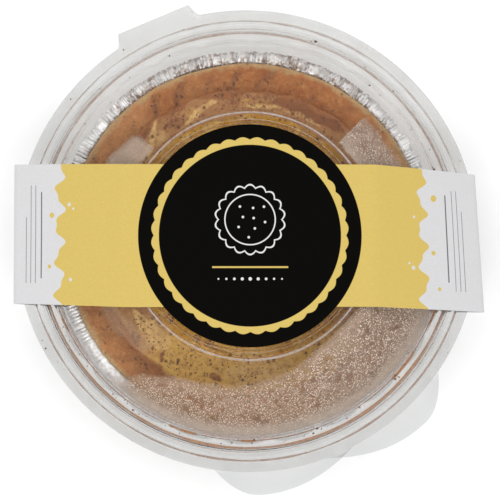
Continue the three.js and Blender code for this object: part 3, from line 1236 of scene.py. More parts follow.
@dataclass
class Axis:
    """Where the pie or its tin stands: both are a little off the tray's axis."""

    x: float
    y: float

    def placed(self, skin: Skin) -> Skin:
        """The skin moved from the tray's axis to this one."""
        return Skin(skin.points + np.array([self.x, self.y, 0.0]), skin.faces, skin.values)


@dataclass
class FoilTin(Part):
    """Thin foil tin with fine uneven pleats in its wall and its turned-out lip."""

    looks = (Slot.FOIL, BrightFoil(), "foil_tin")
    axis: Axis
    floor_z: float = 2.8
    lip_z: float = 21.95
    wall_r: float = 54.1
    lip_r: float = 58.1
    thickness: float = 0.12
    pleats: int = 330
    wall_pleat: float = 0.14
    lip_pleat: float = 0.26
    sides: int = 1680

    def stain(self, line: Array, turn: Array, calm: Array) -> Array:
        """How brown the foil is near its lip, in ragged bands: oven stains with painted shade and painted
        reflection.

        One band, painted shade by the crust, lies along the inner side of the lip, one, a painted
        reflection of the pastry, along its outer side behind, and the smoother stretch at the left is
        browned all over.

        Args:
            line: The centre line, (point, 2).
            turn: Directions as shares of a full turn.
            calm: How strong the pleats are in each direction, as (direction, 1).

        Returns:
            Amounts from 0 to 1, (direction, point).
        """
        behind = between(360.0 * turn[:, None], 42.0, 132.0, 40.0)
        ragged = 0.7 * layered_noise(turn[:, None], line[:, 0] / 60.0, (210, 30), 14, 3)
        # Painted reflection of the pastry along the lip's outer side behind.
        far = behind * ease((line[:, 0] - self.lip_r + 1.05 + ragged) / 0.5)
        # Painted shade along the lip's inner side, by the crust.
        near = ease((self.wall_r + 1.3 + 0.5 * behind - line[:, 0] + 2.0 * ragged) / 0.5)
        stain = np.maximum(np.maximum(0.9 * far, near * (0.55 + 0.45 * behind)), 0.34 * behind)
        return np.maximum(stain, 0.55 * (1 - calm)) * ease((line[:, 1] - self.lip_z + 2.6) / 1.6)

    def build(self) -> Piece:
        """Turns the wall's line and moves its points by the pleats.

        A pleat is s = sin(pleats * angle + wander), sharpened to 0.65 s + 0.35 s^3 and uneven in
        height. It moves the wall in and out and the lip up and down, dies out on the way down to the
        floor, and is calmer round the left. Small dents are added along the lip.

        Returns:
            The tin's object.
        """
        turn = np.arange(self.sides) / self.sides
        top = self.lip_z
        wall = [(44.3 + (self.wall_r - 44.5) * u, self.floor_z + 1.0 + (top - 1.5 - self.floor_z) * u)
                for u in (0.15, 0.4, 0.65, 0.88)]
        corners = np.array([(1.0, self.floor_z), (43.0, self.floor_z), (44.1, self.floor_z + 0.6), *wall,
                            (self.wall_r, top), (self.wall_r + 1.0, top + 0.35), (56.9, top + 0.25),
                            (self.lip_r, top - 0.25)])
        line = rounded_line(corners, (0.8, 0.6, 0.1, 0.1, 0.1, 0.1, 0.4, 0.4, 0.4), 3)
        wander = 4.5 * layered_noise(turn, 0.0, (90, 1), 11, 3)
        wave = np.sin(TURN * self.pleats * turn + wander)
        wave = (0.65 * wave + 0.35 * wave ** 3) * (0.8 + 0.7 * layered_noise(turn, 0.5, (150, 1), 12, 2))
        calm = (1.0 - 0.62 * between(360.0 * turn, 158.0, 262.0, 40.0))[:, None]
        wave = wave[:, None] * calm
        share = ease((line[:, 1] - self.floor_z - 1.0) / 14.0)
        lip = ease((line[:, 0] - self.wall_r + 0.1) / 0.9)
        dent = layered_noise(turn[:, None], line[None, :, 0] / 60.0, (170, 40), 13, 3) * calm
        radius = line[:, 0] + wave * self.wall_pleat * share * (1 - 0.4 * lip) + 0.16 * dent * lip
        height = line[:, 1] + wave * self.lip_pleat * lip + 0.22 * dent * lip
        profile = thin_wall(np.stack([radius, height], axis=-1), self.thickness)
        skin = revolved(profile, TURN * turn, both_sides(stain=self.stain(line, turn, calm)))
        return self.axis.placed(skin).to_object("pleated_foil_tin", 75.0)


@dataclass
class PastryCase(Part):
    """Pastry case with a slanted, uneven crimp, burnt spots and paler stretches.

    A burnt spot is its angle in degrees, radius, reach and strength. A pale stretch is its first and
    last degree and its strength. Strong crimps lie at the angles of that name.
    """

    looks = (Slot.PASTRY, BakedPastry(), "crust")
    axis: Axis
    floor_z: float = 3.25
    crimps: int = 36
    crimp_at: float = 4.5
    slant: float = 0.83
    crimp_depth: float = 0.40
    sides: int = 960
    strong: tuple[float, ...] = (84.0, 95.0, 114.5, 124.0)
    stretches: Rows = (
        (98, 116, 0.10), (126, 152, 0.38), (204, 236, 0.30), (6, 36, 0.95))
    burns: Rows = (
        (123.6, 49.4, 1.1, 1.0), (125.0, 51.0, 0.7, 0.6), (114.3, 49.0, 1.3, 1.1), (116.3, 47.0, 1.1, 0.9),
        (112.8, 50.6, 0.7, 0.5), (104.6, 48.8, 0.8, 0.5), (94.6, 48.6, 1.2, 1.1), (99.5, 47.4, 0.7, 0.7),
        (96.8, 46.6, 1.1, 0.8), (83.8, 47.9, 1.2, 0.9), (81.6, 50.8, 0.5, 0.7), (82.0, 46.6, 0.8, 0.7),
        (73.8, 48.0, 0.6, 0.5), (71.2, 51.4, 0.6, 0.9), (64.8, 50.2, 0.8, 0.8), (66.2, 47.8, 0.6, 0.6),
        (56.4, 48.2, 0.8, 0.7), (133.6, 49.6, 0.6, 0.5), (229.8, 47.2, 0.9, 0.8), (222.0, 46.6, 0.8, 0.5),
        (211.0, 49.6, 0.7, 0.6), (216.0, 45.8, 0.7, 0.5))

    def crimp(self, degrees: Array, radius: Array) -> Array:
        """1 at the bottom of a crimp and 0 between them, (0.5 + 0.5 cos(crimps * angle))^4.5.

        Args:
            degrees: Directions round the axis.
            radius: Distances from it. The crimps slant by slant degrees for each mm outwards.

        Returns:
            Amounts from 0 to 1.
        """
        wander = 1.5 * lattice_noise(degrees / 360.0, radius / 120.0, (28, 5), 21)
        phase = np.radians((degrees - self.crimp_at + self.slant * (radius - 49.4) + wander) * self.crimps)
        return np.clip(0.5 + 0.5 * np.cos(phase), 0.0, 1.0) ** 4.5

    def line(self) -> Array:
        """The case's closed profile, from the axis outwards below and back above.

        Returns:
            The profile as (point, 2).
        """
        foot = self.floor_z
        outside = np.array([(1.0, foot), (42.3, foot), (43.2, foot + 0.6), (52.8, 20.9)])
        rim = np.array([(52.8, 20.9), (54.0, 22.7), (54.6, 23.0), (54.4, 23.4), (53.2, 23.6), (49.8, 22.9),
                        (47.6, 21.9), (46.3, 20.6)])
        inside = np.array([(46.3, 20.6), (45.4, 19.4), (40.5, 8.2), (1.0, 7.45)])
        rim = evenly(rounded_line(rim, (0.7, 0.4, 0.4, 1.0, 2.0, 1.0), 8), 46)
        return np.concatenate([outside, rim[1:-1], inside])

    def burnt(self, angle: Array, radius: Array) -> Array:
        """How burnt each place is: the most of strength * exp(-away^2) over the burnt spots.

        Args:
            angle: Degrees round the axis.
            radius: Distances from it. The spots lean by 0.45 mm along for each mm outwards.

        Returns:
            Amounts from 0 to 1.
        """
        most = np.zeros(angle.shape)
        for at, middle, reach, strength in self.burns:
            across = radius - middle
            along = np.radians(turn_from(angle, at)) * middle
            away = ((along + 0.45 * across) / reach) ** 2 + (across / (1.7 * reach)) ** 2
            most = np.maximum(most, strength * np.exp(-away))
        return np.clip(most, 0, 1)

    def build(self) -> Piece:
        """Turns the profile and adds the crimps, lumps and an uneven edge to its visible part.

        Returns:
            The case's object, which carries the painted shade in its crimps with scorch, and how tan, burnt
            and pale each place is.
        """
        degrees = directions(self.sides)
        line = self.line()
        radius = np.broadcast_to(line[:, 0], (self.sides, len(line)))
        height = np.broadcast_to(line[:, 1], (self.sides, len(line)))
        shown = ease((height - 20.3) / 1.0)
        angle = degrees[:, None] + 0.0 * radius
        around = angle / 360.0
        strong = np.max([between(angle, at - 3.5, at + 3.5, 4) for at in self.strong], axis=0)
        uneven = 0.34 + 0.42 * lattice_noise(around, radius / 60.0, (41, 14), 22) + 0.60 * strong
        crimp = self.crimp(angle, radius) * between(radius, 46.6, 53.0, 2.4) * np.clip(uneven, 0.1, 1.0)
        lump = layered_noise(around, radius / 60.0, (44, 9), 23, 4)
        outline = layered_noise(degrees / 360.0, 0.3, (24, 1), 24, 4)[:, None]
        edge = between(radius, 53.7, 60.0, 1.0)
        height = height + shown * (0.14 * lump - self.crimp_depth * crimp)
        radius = radius + shown * edge * 0.22 * outline
        # Painted shade in the crimp grooves, plus random scorch and a darker lower left stretch.
        crimp_shade_and_scorch = 1.3 * crimp + 0.36 * ease(lattice_noise(around, radius / 60.0, (30, 12), 25) * 1.7 - 0.6)
        low = between(degrees[:, None], 228, 250, 10) * between(radius, 44.0, 51.5, 3.0)
        crimp_shade_and_scorch = np.clip(crimp_shade_and_scorch + 0.12 * low, 0, 1) * shown
        ragged = 0.6 * layered_noise(around, radius / 60.0, (150, 30), 26, 3)
        tan = ease((line[:, 0] - 52.5 + 1.2 * ragged) / 1.5) * ease((line[:, 1] - 20.6) / 0.8)
        pale = [strength * between(angle, start, end, 12.0) for start, end, strength in self.stretches]
        values = {"crimp_shade_and_scorch": crimp_shade_and_scorch * (1 - 0.6 * tan), "rim": tan, "burnt": self.burnt(angle, radius) * shown,
                  "light": np.max(pale, axis=0) * shown}
        skin = revolved(np.stack([radius, height], axis=-1), np.radians(degrees), values)
        return self.axis.placed(skin).to_object("pastry_case", 60.0)


@dataclass(frozen=True)
class Patch:
    """A soft patch on the custard: where it lies, how far it reaches and how strong it is."""

    degrees: float
    radius: float
    reach: float
    width: float
    strength: float
    lean: float = 0.0

    def amount(self, degrees: Array, radius: Array) -> Array:
        """Strength inside, eased to 0 where (along / reach)^2 + (across / width)^2 passes 1.

        A lean moves the patch inwards by its amount for each mm along.

        Args:
            degrees: Directions round the axis.
            radius: Distances from it.

        Returns:
            Amounts from 0 to the strength.
        """
        along = np.radians(turn_from(degrees, self.degrees)) * radius
        across = (radius - self.radius + self.lean * along) / self.width
        return self.strength * ease(1.6 - 1.3 * ((along / self.reach) ** 2 + across ** 2))


TOASTED = tuple(Patch(*row) for row in (
    (64, 44.9, 13.5, 2.4, 1.0), (133.5, 45.6, 3.6, 1.7, 0.95, 0.4), (119, 45.6, 3.4, 1.2, 0.4),
    (120, 43.0, 3.4, 2.2, 0.62), (95.5, 43.8, 2.2, 2.4, 0.5), (84, 44.9, 5.0, 2.2, 0.4),
    (257, 41.7, 1.7, 1.1, 0.8), (233, 42.3, 0.9, 1.7, 0.8), (213, 45.6, 8.5, 1.2, 0.7),
    (253, 33.3, 4.0, 1.0, 0.6), (320, 39.3, 5.0, 1.0, 0.7), (94, 36.6, 8.0, 1.4, 0.45),
    (70, 37.0, 15.0, 0.8, 0.5), (300, 34.0, 9.0, 1.6, 0.25), (270, 46.2, 14.0, 1.1, 0.7),
    (200, 46.2, 9.0, 1.1, 0.6), (20, 45.8, 18.0, 1.6, 0.7)))
CREAMY = tuple(Patch(*row) for row in (
    (132.5, 42.4, 5.6, 1.3, 0.8, 0.78), (130.0, 41.6, 4.0, 2.4, 0.45), (109, 43.4, 7.5, 1.1, 0.72, 0.40),
    (276, 39.8, 13.0, 4.0, 0.75), (272, 34.4, 9.0, 2.4, 0.9), (294, 34.6, 7.0, 2.4, 0.75),
    (84, 42.4, 7.0, 1.2, 0.6, 0.1), (66, 42.0, 7.0, 0.8, 0.6), (224, 39.3, 8.0, 3.8, 0.8),
    (214, 42.8, 6.0, 2.0, 0.25), (219, 39.4, 7.0, 1.8, 0.9), (232, 34.2, 8.0, 1.3, 0.7),
    (150, 40.0, 9.0, 3.4, 0.6), (312, 40.5, 8.0, 2.0, 0.5)))
GOLDEN = (Patch(113, 43.8, 3.6, 1.6, 0.4), Patch(86, 43.2, 6.0, 1.4, 0.4), Patch(117, 36.8, 7.0, 1.8, 0.9))


def over_map(x: Array, y: Array, side: float, cells: int, seed: int, layers: int) -> Array:
    """Layered noise over a square that is centred on the axis.

    Args:
        x: Places in mm.
        y: Places in mm.
        side: The square's side in mm.
        cells: Cells of the first layer along it.
        seed: Start of the random values.
        layers: How many noises are added.

    Returns:
        The noise at each place.
    """
    return layered_noise(x / side + 0.5, y / side + 0.5, (cells, cells), seed, layers)


@dataclass
class CustardFill(Part):
    """Baked custard with a slightly uneven skin."""

    looks = (Slot.CUSTARD, CustardSkin(), "custard")
    axis: Axis
    skin_z: float = 21.0
    radius: float = 47.5
    sides: int = 480
    rings: int = 100

    def surface(self, x: Array, y: Array) -> Array:
        """Height of the skin: a low dome, broad swells, fine wrinkles and an uneven lap at its edge.

        Args:
            x: Places from the pie's axis, in mm.
            y: Places from the pie's axis, in mm.

        Returns:
            Heights in mm.
        """
        r = np.hypot(x, y)
        swell = 0.16 * over_map(x, y, 120.0, 9, 31, 2)
        wrinkle = 0.045 * over_map(x, y, 120.0, 70, 32, 2)
        dome = 0.25 * (1 - (r / self.radius) ** 2)
        lap = 0.38 * over_map(x, y, 120.0, 38, 36, 3) * ease((r - self.radius + 3.2) / 2.0)
        return self.skin_z - 0.1 + dome + swell + wrinkle + lap

    def patches(self, x: Array, y: Array) -> dict[str, Array]:
        """Where the skin is toasted, creamy or golden, amber near the middle or crusty at its edge.

        Args:
            x: Places from the pie's axis, in mm.
            y: Places from the pie's axis, in mm.

        Returns:
            An amount from 0 to 1 for each of the five.
        """
        r = np.hypot(x, y) + 0.55 * over_map(x, y, 120.0, 22, 33, 4)
        degrees = np.degrees(np.arctan2(y, x)) % 360.0 + 1.6 * over_map(x, y, 120.0, 18, 34, 4)
        toast, cream, gold = (np.max([p.amount(degrees, r) for p in kind], axis=0)
                              for kind in (TOASTED, CREAMY, GOLDEN))
        lower = between(degrees, 226, 318, 16)
        gold = np.maximum(gold, 0.9 * lower)
        amber = ease((37.7 + 2.4 * np.sin(np.radians(degrees)) - r) / 1.4)
        gold = np.maximum(gold, 0.66 * amber)
        amber = amber * (1 - 0.55 * between(degrees, 254, 286, 16))
        cream = cream * (1 - 0.8 * toast) * (1 - 0.5 * amber)
        crusty = ease((r + 0.9 * over_map(x, y, 120.0, 30, 35, 3) - 44.8) / 1.8)
        return {"toast": toast, "cream": cream, "gold": gold, "amber": amber, "crusty": crusty}

    def build(self) -> Piece:
        """Turns a closed line and lifts its upper side to the skin's height.

        Returns:
            The filling's object.
        """
        degrees = directions(self.sides)
        turns = np.radians(degrees)
        below = np.array([(1.0, 7.75), (39.9, 8.55), (45.2, 19.3), (46.7, 20.5)])
        top = np.concatenate([np.linspace(self.radius, 30.0, self.rings - 14), np.linspace(27.5, 0.5, 14)])
        radius = np.concatenate([below[:, 0], top]) + 0.0 * turns[:, None]
        x, y = radius * np.cos(turns)[:, None], radius * np.sin(turns)[:, None]
        upper = self.surface(x, y)
        height = np.where(np.arange(radius.shape[1]) < len(below), 0.0, upper)
        height[:, :len(below)] = below[:, 1]
        skin = revolved(np.stack([radius, height], axis=-1), turns, self.patches(x, y))
        return self.axis.placed(skin).to_object("custard_filling", 60.0)


# ---------------------------------------------------------------- small scattered things


def pebble(rings: int, around: int) -> tuple[Array, Array]:
    """A small ball with two poles.

    Args:
        rings: Rings of points between the poles.
        around: Points in each ring.

    Returns:
        Its points, about 1 from the middle, and its triangles.
    """
    tilt = (np.arange(rings) + 1) / (rings + 1) * math.pi
    turn = circle(around)
    ring = polar(np.sin(tilt)[:, None], turn, np.cos(tilt)[:, None] + 0 * turn).reshape(-1, 3)
    quads = grid_faces(rings, around, False, True)
    sides = np.concatenate([quads[:, [0, 1, 2]], quads[:, [0, 2, 3]]])
    here = np.arange(around)
    top = rings * around
    caps = np.concatenate([fan(top, here), fan(top + 1, here + top - around)[:, [0, 2, 1]]])
    return np.concatenate([ring, [[0, 0, 1.0], [0, 0, -1.0]]]), np.concatenate([sides, caps])


def random_turns(rng: np.random.Generator, count: int) -> Array:
    """Random rotations, from unit quaternions.

    Args:
        rng: Where the random numbers come from.
        count: How many rotations.

    Returns:
        Matrices as (count, 3, 3).
    """
    q = rng.normal(size=(count, 4))
    q /= np.linalg.norm(q, axis=1, keepdims=True)
    w, x, y, z = q.T
    rows = [[1 - 2 * (y * y + z * z), 2 * (x * y - z * w), 2 * (x * z + y * w)],
            [2 * (x * y + z * w), 1 - 2 * (x * x + z * z), 2 * (y * z - x * w)],
            [2 * (x * z - y * w), 2 * (y * z + x * w), 1 - 2 * (x * x + y * y)]]
    return np.moveaxis(np.array(rows), -1, 0)


@dataclass
class NutmegSpecks(Part):
    """Ground nutmeg on the custard: flat flakes that lie on its skin.

    They are thickest in a few crowds, each an angle in degrees, a radius and a reach.
    """

    looks = (Slot.CUSTARD, NUTMEG)
    fill: CustardFill
    count: int = 1700
    seed: int = 41
    crowds: Rows = (
        (97.0, 43.5, 3.2), (99.0, 46.5, 2.5), (122.0, 42.8, 3.2), (117.0, 45.2, 2.6), (79.0, 44.0, 4.5),
        (68.0, 43.5, 4.0), (60.0, 42.6, 3.0), (90.0, 42.0, 4.0), (234.0, 42.0, 1.8), (257.0, 42.0, 1.8),
        (270.0, 40.6, 2.6), (218.0, 40.8, 3.0))

    def build(self) -> Piece:
        """Scatters flattened balls over the skin, a few of them large.

        The share kept is 0.16 + 0.28 noise + 0.55 exp(-(away / reach)^2) for each crowd.

        Returns:
            The specks as one object.
        """
        rng = np.random.default_rng(self.seed)
        tries = 5 * self.count
        r = self.fill.radius * np.sqrt(rng.uniform(0.42, 0.99, tries))
        turn = rng.uniform(0.0, TURN, tries)
        x, y = r * np.cos(turn), r * np.sin(turn)
        crowd = 0.16 + 0.28 * over_map(x, y, 120.0, 16, self.seed, 2)
        for degrees, radius, reach in self.crowds:
            at = math.radians(degrees)
            away = np.hypot(x - radius * math.cos(at), y - radius * math.sin(at))
            crowd = crowd + 0.55 * np.exp(-((away / reach) ** 2))
        keep = rng.uniform(0.0, 1.0, tries) < crowd
        x, y = x[keep][:self.count], y[keep][:self.count]
        count = len(x)
        size = np.clip(rng.lognormal(-1.86, 0.38, count), 0.09, 0.40)
        stretch = np.stack([size * rng.uniform(0.8, 1.6, count), size, size * 0.35], axis=-1)
        spin = rng.uniform(0.0, TURN, count)
        frames = np.zeros((count, 3, 3))
        frames[:, 0, 0], frames[:, 0, 1] = np.cos(spin), -np.sin(spin)
        frames[:, 1, 0], frames[:, 1, 1] = np.sin(spin), np.cos(spin)
        frames[:, 2, 2] = 1.0
        frames *= stretch[:, None, :]
        shape, faces = pebble(2, 6)
        shapes = shape * (1 + rng.uniform(-0.35, 0.35, (count, len(shape), 1)))
        places = np.stack([x, y, self.fill.surface(x, y) + 0.2 * size], axis=-1)
        skin = scattered(shapes, faces, places, frames, {"shade": rng.uniform(0.0, 0.9, count)})
        return self.fill.axis.placed(skin).to_object("nutmeg_specks", None)


@dataclass
class LooseCrumbs(Part):
    """Crumbs that lie on the lid's flange, in its groove and on its slope.

    The larger ones have spots of their own, each an angle in degrees, a radius and a size. A zone is
    an inner and an outer radius and the share of the small crumbs that lies there.
    """

    looks = (Slot.PASTRY, CRUMBS)
    lid: DomedLid
    count: int = 110
    seed: int = 51
    spots: Rows = (
        (51.7, 59.6, 0.30), (55.7, 62.8, 0.24), (45.5, 62.6, 0.24), (71.0, 63.0, 0.42), (72.2, 62.7, 0.2),
        (113.0, 60.3, 0.24), (126.0, 60.4, 0.18), (144.5, 60.0, 0.22), (134.5, 63.1, 0.18),
        (288.5, 61.2, 0.34), (290.0, 60.2, 0.36), (303.5, 60.4, 0.3), (298.8, 61.2, 0.28),
        (316.4, 60.9, 0.38), (317.2, 60.1, 0.36), (236.0, 61.4, 0.34), (238.0, 61.5, 0.24),
        (271.0, 60.9, 0.26), (107.0, 66.3, 0.2), (47.5, 59.4, 0.2), (20.7, 60.2, 0.42), (21.4, 60.0, 0.24),
        (34.0, 59.6, 0.2), (39.6, 60.0, 0.16), (28.6, 55.8, 0.2), (20.2, 68.3, 0.18), (151.0, 60.2, 0.18),
        (156.0, 59.8, 0.2))
    zones: Rows = ((59.7, 61.5, 0.70), (54.0, 58.6, 0.14), (66.9, 68.9, 0.16))
    gathered: tuple[float, ...] = (208.0, 216.0, 226.0, 237.0, 247.0, 268.0, 290.0, 316.0)

    def top(self, radius: Array) -> Array:
        """Height of the lid's upper side from the slope outwards.

        Args:
            radius: Distances from the axis.

        Returns:
            Heights in mm, just above the sheet.
        """
        lid = self.lid
        radii, heights = np.array([(lid.dome_r[1], lid.dome_z[1]), *lid.foot, (lid.flange_r, lid.flange_z)]).T
        middle = np.where(radius < radii[0], lid.slope(radius), np.interp(radius, radii, heights))
        return middle + 0.6 * lid.thickness

    def build(self) -> Piece:
        """Scatters lumpy balls over the lid and adds the larger ones at their own spots.

        Most lie in the groove, and four in five of those near the angles where crumbs have gathered.

        Returns:
            The crumbs as one object.
        """
        rng = np.random.default_rng(self.seed)
        lows, highs, chances = np.array(self.zones).T
        zone = rng.choice(3, self.count, p=chances)
        low = rng.choice(self.gathered, self.count)
        degrees = np.where((zone == 0) & (rng.uniform(0, 1, self.count) < 0.8),
                           low + rng.normal(0.0, 4.0, self.count), rng.uniform(0.0, 360.0, self.count))
        own = np.array(self.spots)
        r = np.concatenate([rng.uniform(lows[zone], highs[zone]), own[:, 1]])
        turn = np.radians(np.concatenate([degrees, own[:, 0]]))
        size = np.concatenate([np.clip(rng.lognormal(-1.95, 0.40, self.count), 0.07, 0.3), own[:, 2]])
        count = len(r)
        frames = random_turns(rng, count) * size[:, None, None]
        shape, faces = pebble(3, 7)
        shapes = shape * (1 + rng.uniform(-0.3, 0.3, (count, len(shape), 1)))
        places = polar(r, turn, self.top(r) + 0.5 * size)
        skin = scattered(shapes, faces, places, frames, {"shade": rng.uniform(0.0, 0.9, count)})
        return skin.to_object("loose_crumbs", None)


@dataclass(frozen=True)
class Crease:
    """A line along a crease, with its sizes in mm.

    Brown is 0 for a painted highlight, 1 for a painted brown reflection and 2 for a painted orange
    reflection. Behind and front say how strong the line is there, and patchy how far noise breaks it up.
    """

    radius: float
    height: float
    half_width: float
    brown: float
    behind: float
    front: float
    patchy: float = 0.25


@dataclass
class CreaseLines(Part):
    """Painted highlights and reflections along the creases of the clear sheets, as thin rods half sunk into
    the plastic.
    """

    looks = (Slot.CLEAR, CreaseTint())
    # Brown 0 is a painted highlight; brown 1 and 2 are painted reflections of the pie.
    lines: tuple[Crease, ...] = (
        Crease(36.05, 42.52, 0.22, 0.0, 0.62, 0.62, patchy=0.1), Crease(35.45, 42.62, 0.10, 1.6, 0.35, 0.4),
        Crease(36.75, 42.16, 0.10, 1.6, 0.35, 0.4), Crease(33.95, 42.60, 0.10, 0.4, 0.28, 0.24),
        Crease(33.2, 42.02, 0.14, 1.0, 0.35, 0.35), Crease(59.15, 26.05, 0.34, 0.55, 0.0, 0.55),
        Crease(60.05, 25.62, 0.12, 1.6, 0.10, 0.6), Crease(60.2, 25.62, 0.28, 1.9, 0.0, 0.8, patchy=1.0),
        Crease(62.2, 27.96, 0.28, 1.3, 0.30, 0.8), Crease(63.35, 28.07, 0.14, 0.8, 0.26, 0.28),
        Crease(65.9, 26.95, 0.26, 0.8, 0.28, 0.62))
    sides: int = 900

    def build(self) -> Piece:
        """Bends a six-sided rod, 0.3 times as high as wide, round the axis for each line.

        The strength goes from behind to front as 0.5 - 0.62 sin(angle), eased, and is broken up by
        noise as far as the line is patchy. A line that is patchy all through has gaps. Brown lines
        grow wider towards the front.

        Returns:
            The lines as one object.
        """
        degrees = directions(self.sides)
        turns = np.radians(degrees)[:, None]
        front = ease(0.5 - 0.62 * np.sin(turns))
        skins = []
        for k, line in enumerate(self.lines):
            patches = layered_noise(degrees / 360.0, 0.0, (36, 1), 70 + k, 4)[:, None]
            amount = (line.behind + (line.front - line.behind) * front) * (1 + line.patchy * patches)
            amount = amount if line.patchy < 0.9 else amount * ease(0.5 + 1.5 * patches)
            wide = line.half_width * (0.75 + 0.25 * np.clip(1 + patches, 0, 2))
            wide = wide * (1 + 0.3 * front * min(line.brown, 1.0))
            radius = line.radius + wide * np.cos(circle(6))
            height = line.height + 0.3 * wide * np.sin(circle(6))
            shape = radius.shape
            values = {"strength": np.broadcast_to(np.clip(amount, 0, 1), shape).ravel(),
                      "brown": np.full(shape, line.brown).ravel()}
            faces = grid_faces(*shape, True, True).tolist()
            skins.append(Skin(polar(radius, turns, height).reshape(-1, 3), faces, values))
        return joined(skins).to_object("crease_lines", 80.0)


@dataclass(frozen=True)
class Damp:
    """A damp stretch of the lid's inner slope.

    Its outline gives an inner and an outer radius at rising angles. Mist and drops say how much there
    is of both, and grey how far the mist has lost the pie's colour.
    """

    outline: Rows
    mist: float
    drops: float
    grey: float
    soft: float = 1.0
    outer: float = 1.6
    side: float = 0.4

    def limits(self, degrees: Array) -> tuple[Array, Array]:
        """Inner and outer radius at each angle."""
        angles, low, high = np.array(self.outline).T
        return np.interp(degrees, angles, low), np.interp(degrees, angles, high)

    def amount(self, degrees: Array, radius: Array, soft: float) -> Array:
        """How damp the slope is.

        Args:
            degrees: Directions round the axis, within the stretch.
            radius: Distances from it.
            soft: Over how many mm the damp begins from the inner limit.

        Returns:
            1 well inside the limits, eased to 0 at them and at both ends.
        """
        low, high = self.limits(degrees)
        ends = np.minimum(degrees - self.outline[0][0], self.outline[-1][0] - degrees)
        inwards = ease((radius - low) / soft) * ease((high - radius) / self.outer)
        return inwards * ease(ends * math.pi / 180.0 * radius / self.side)


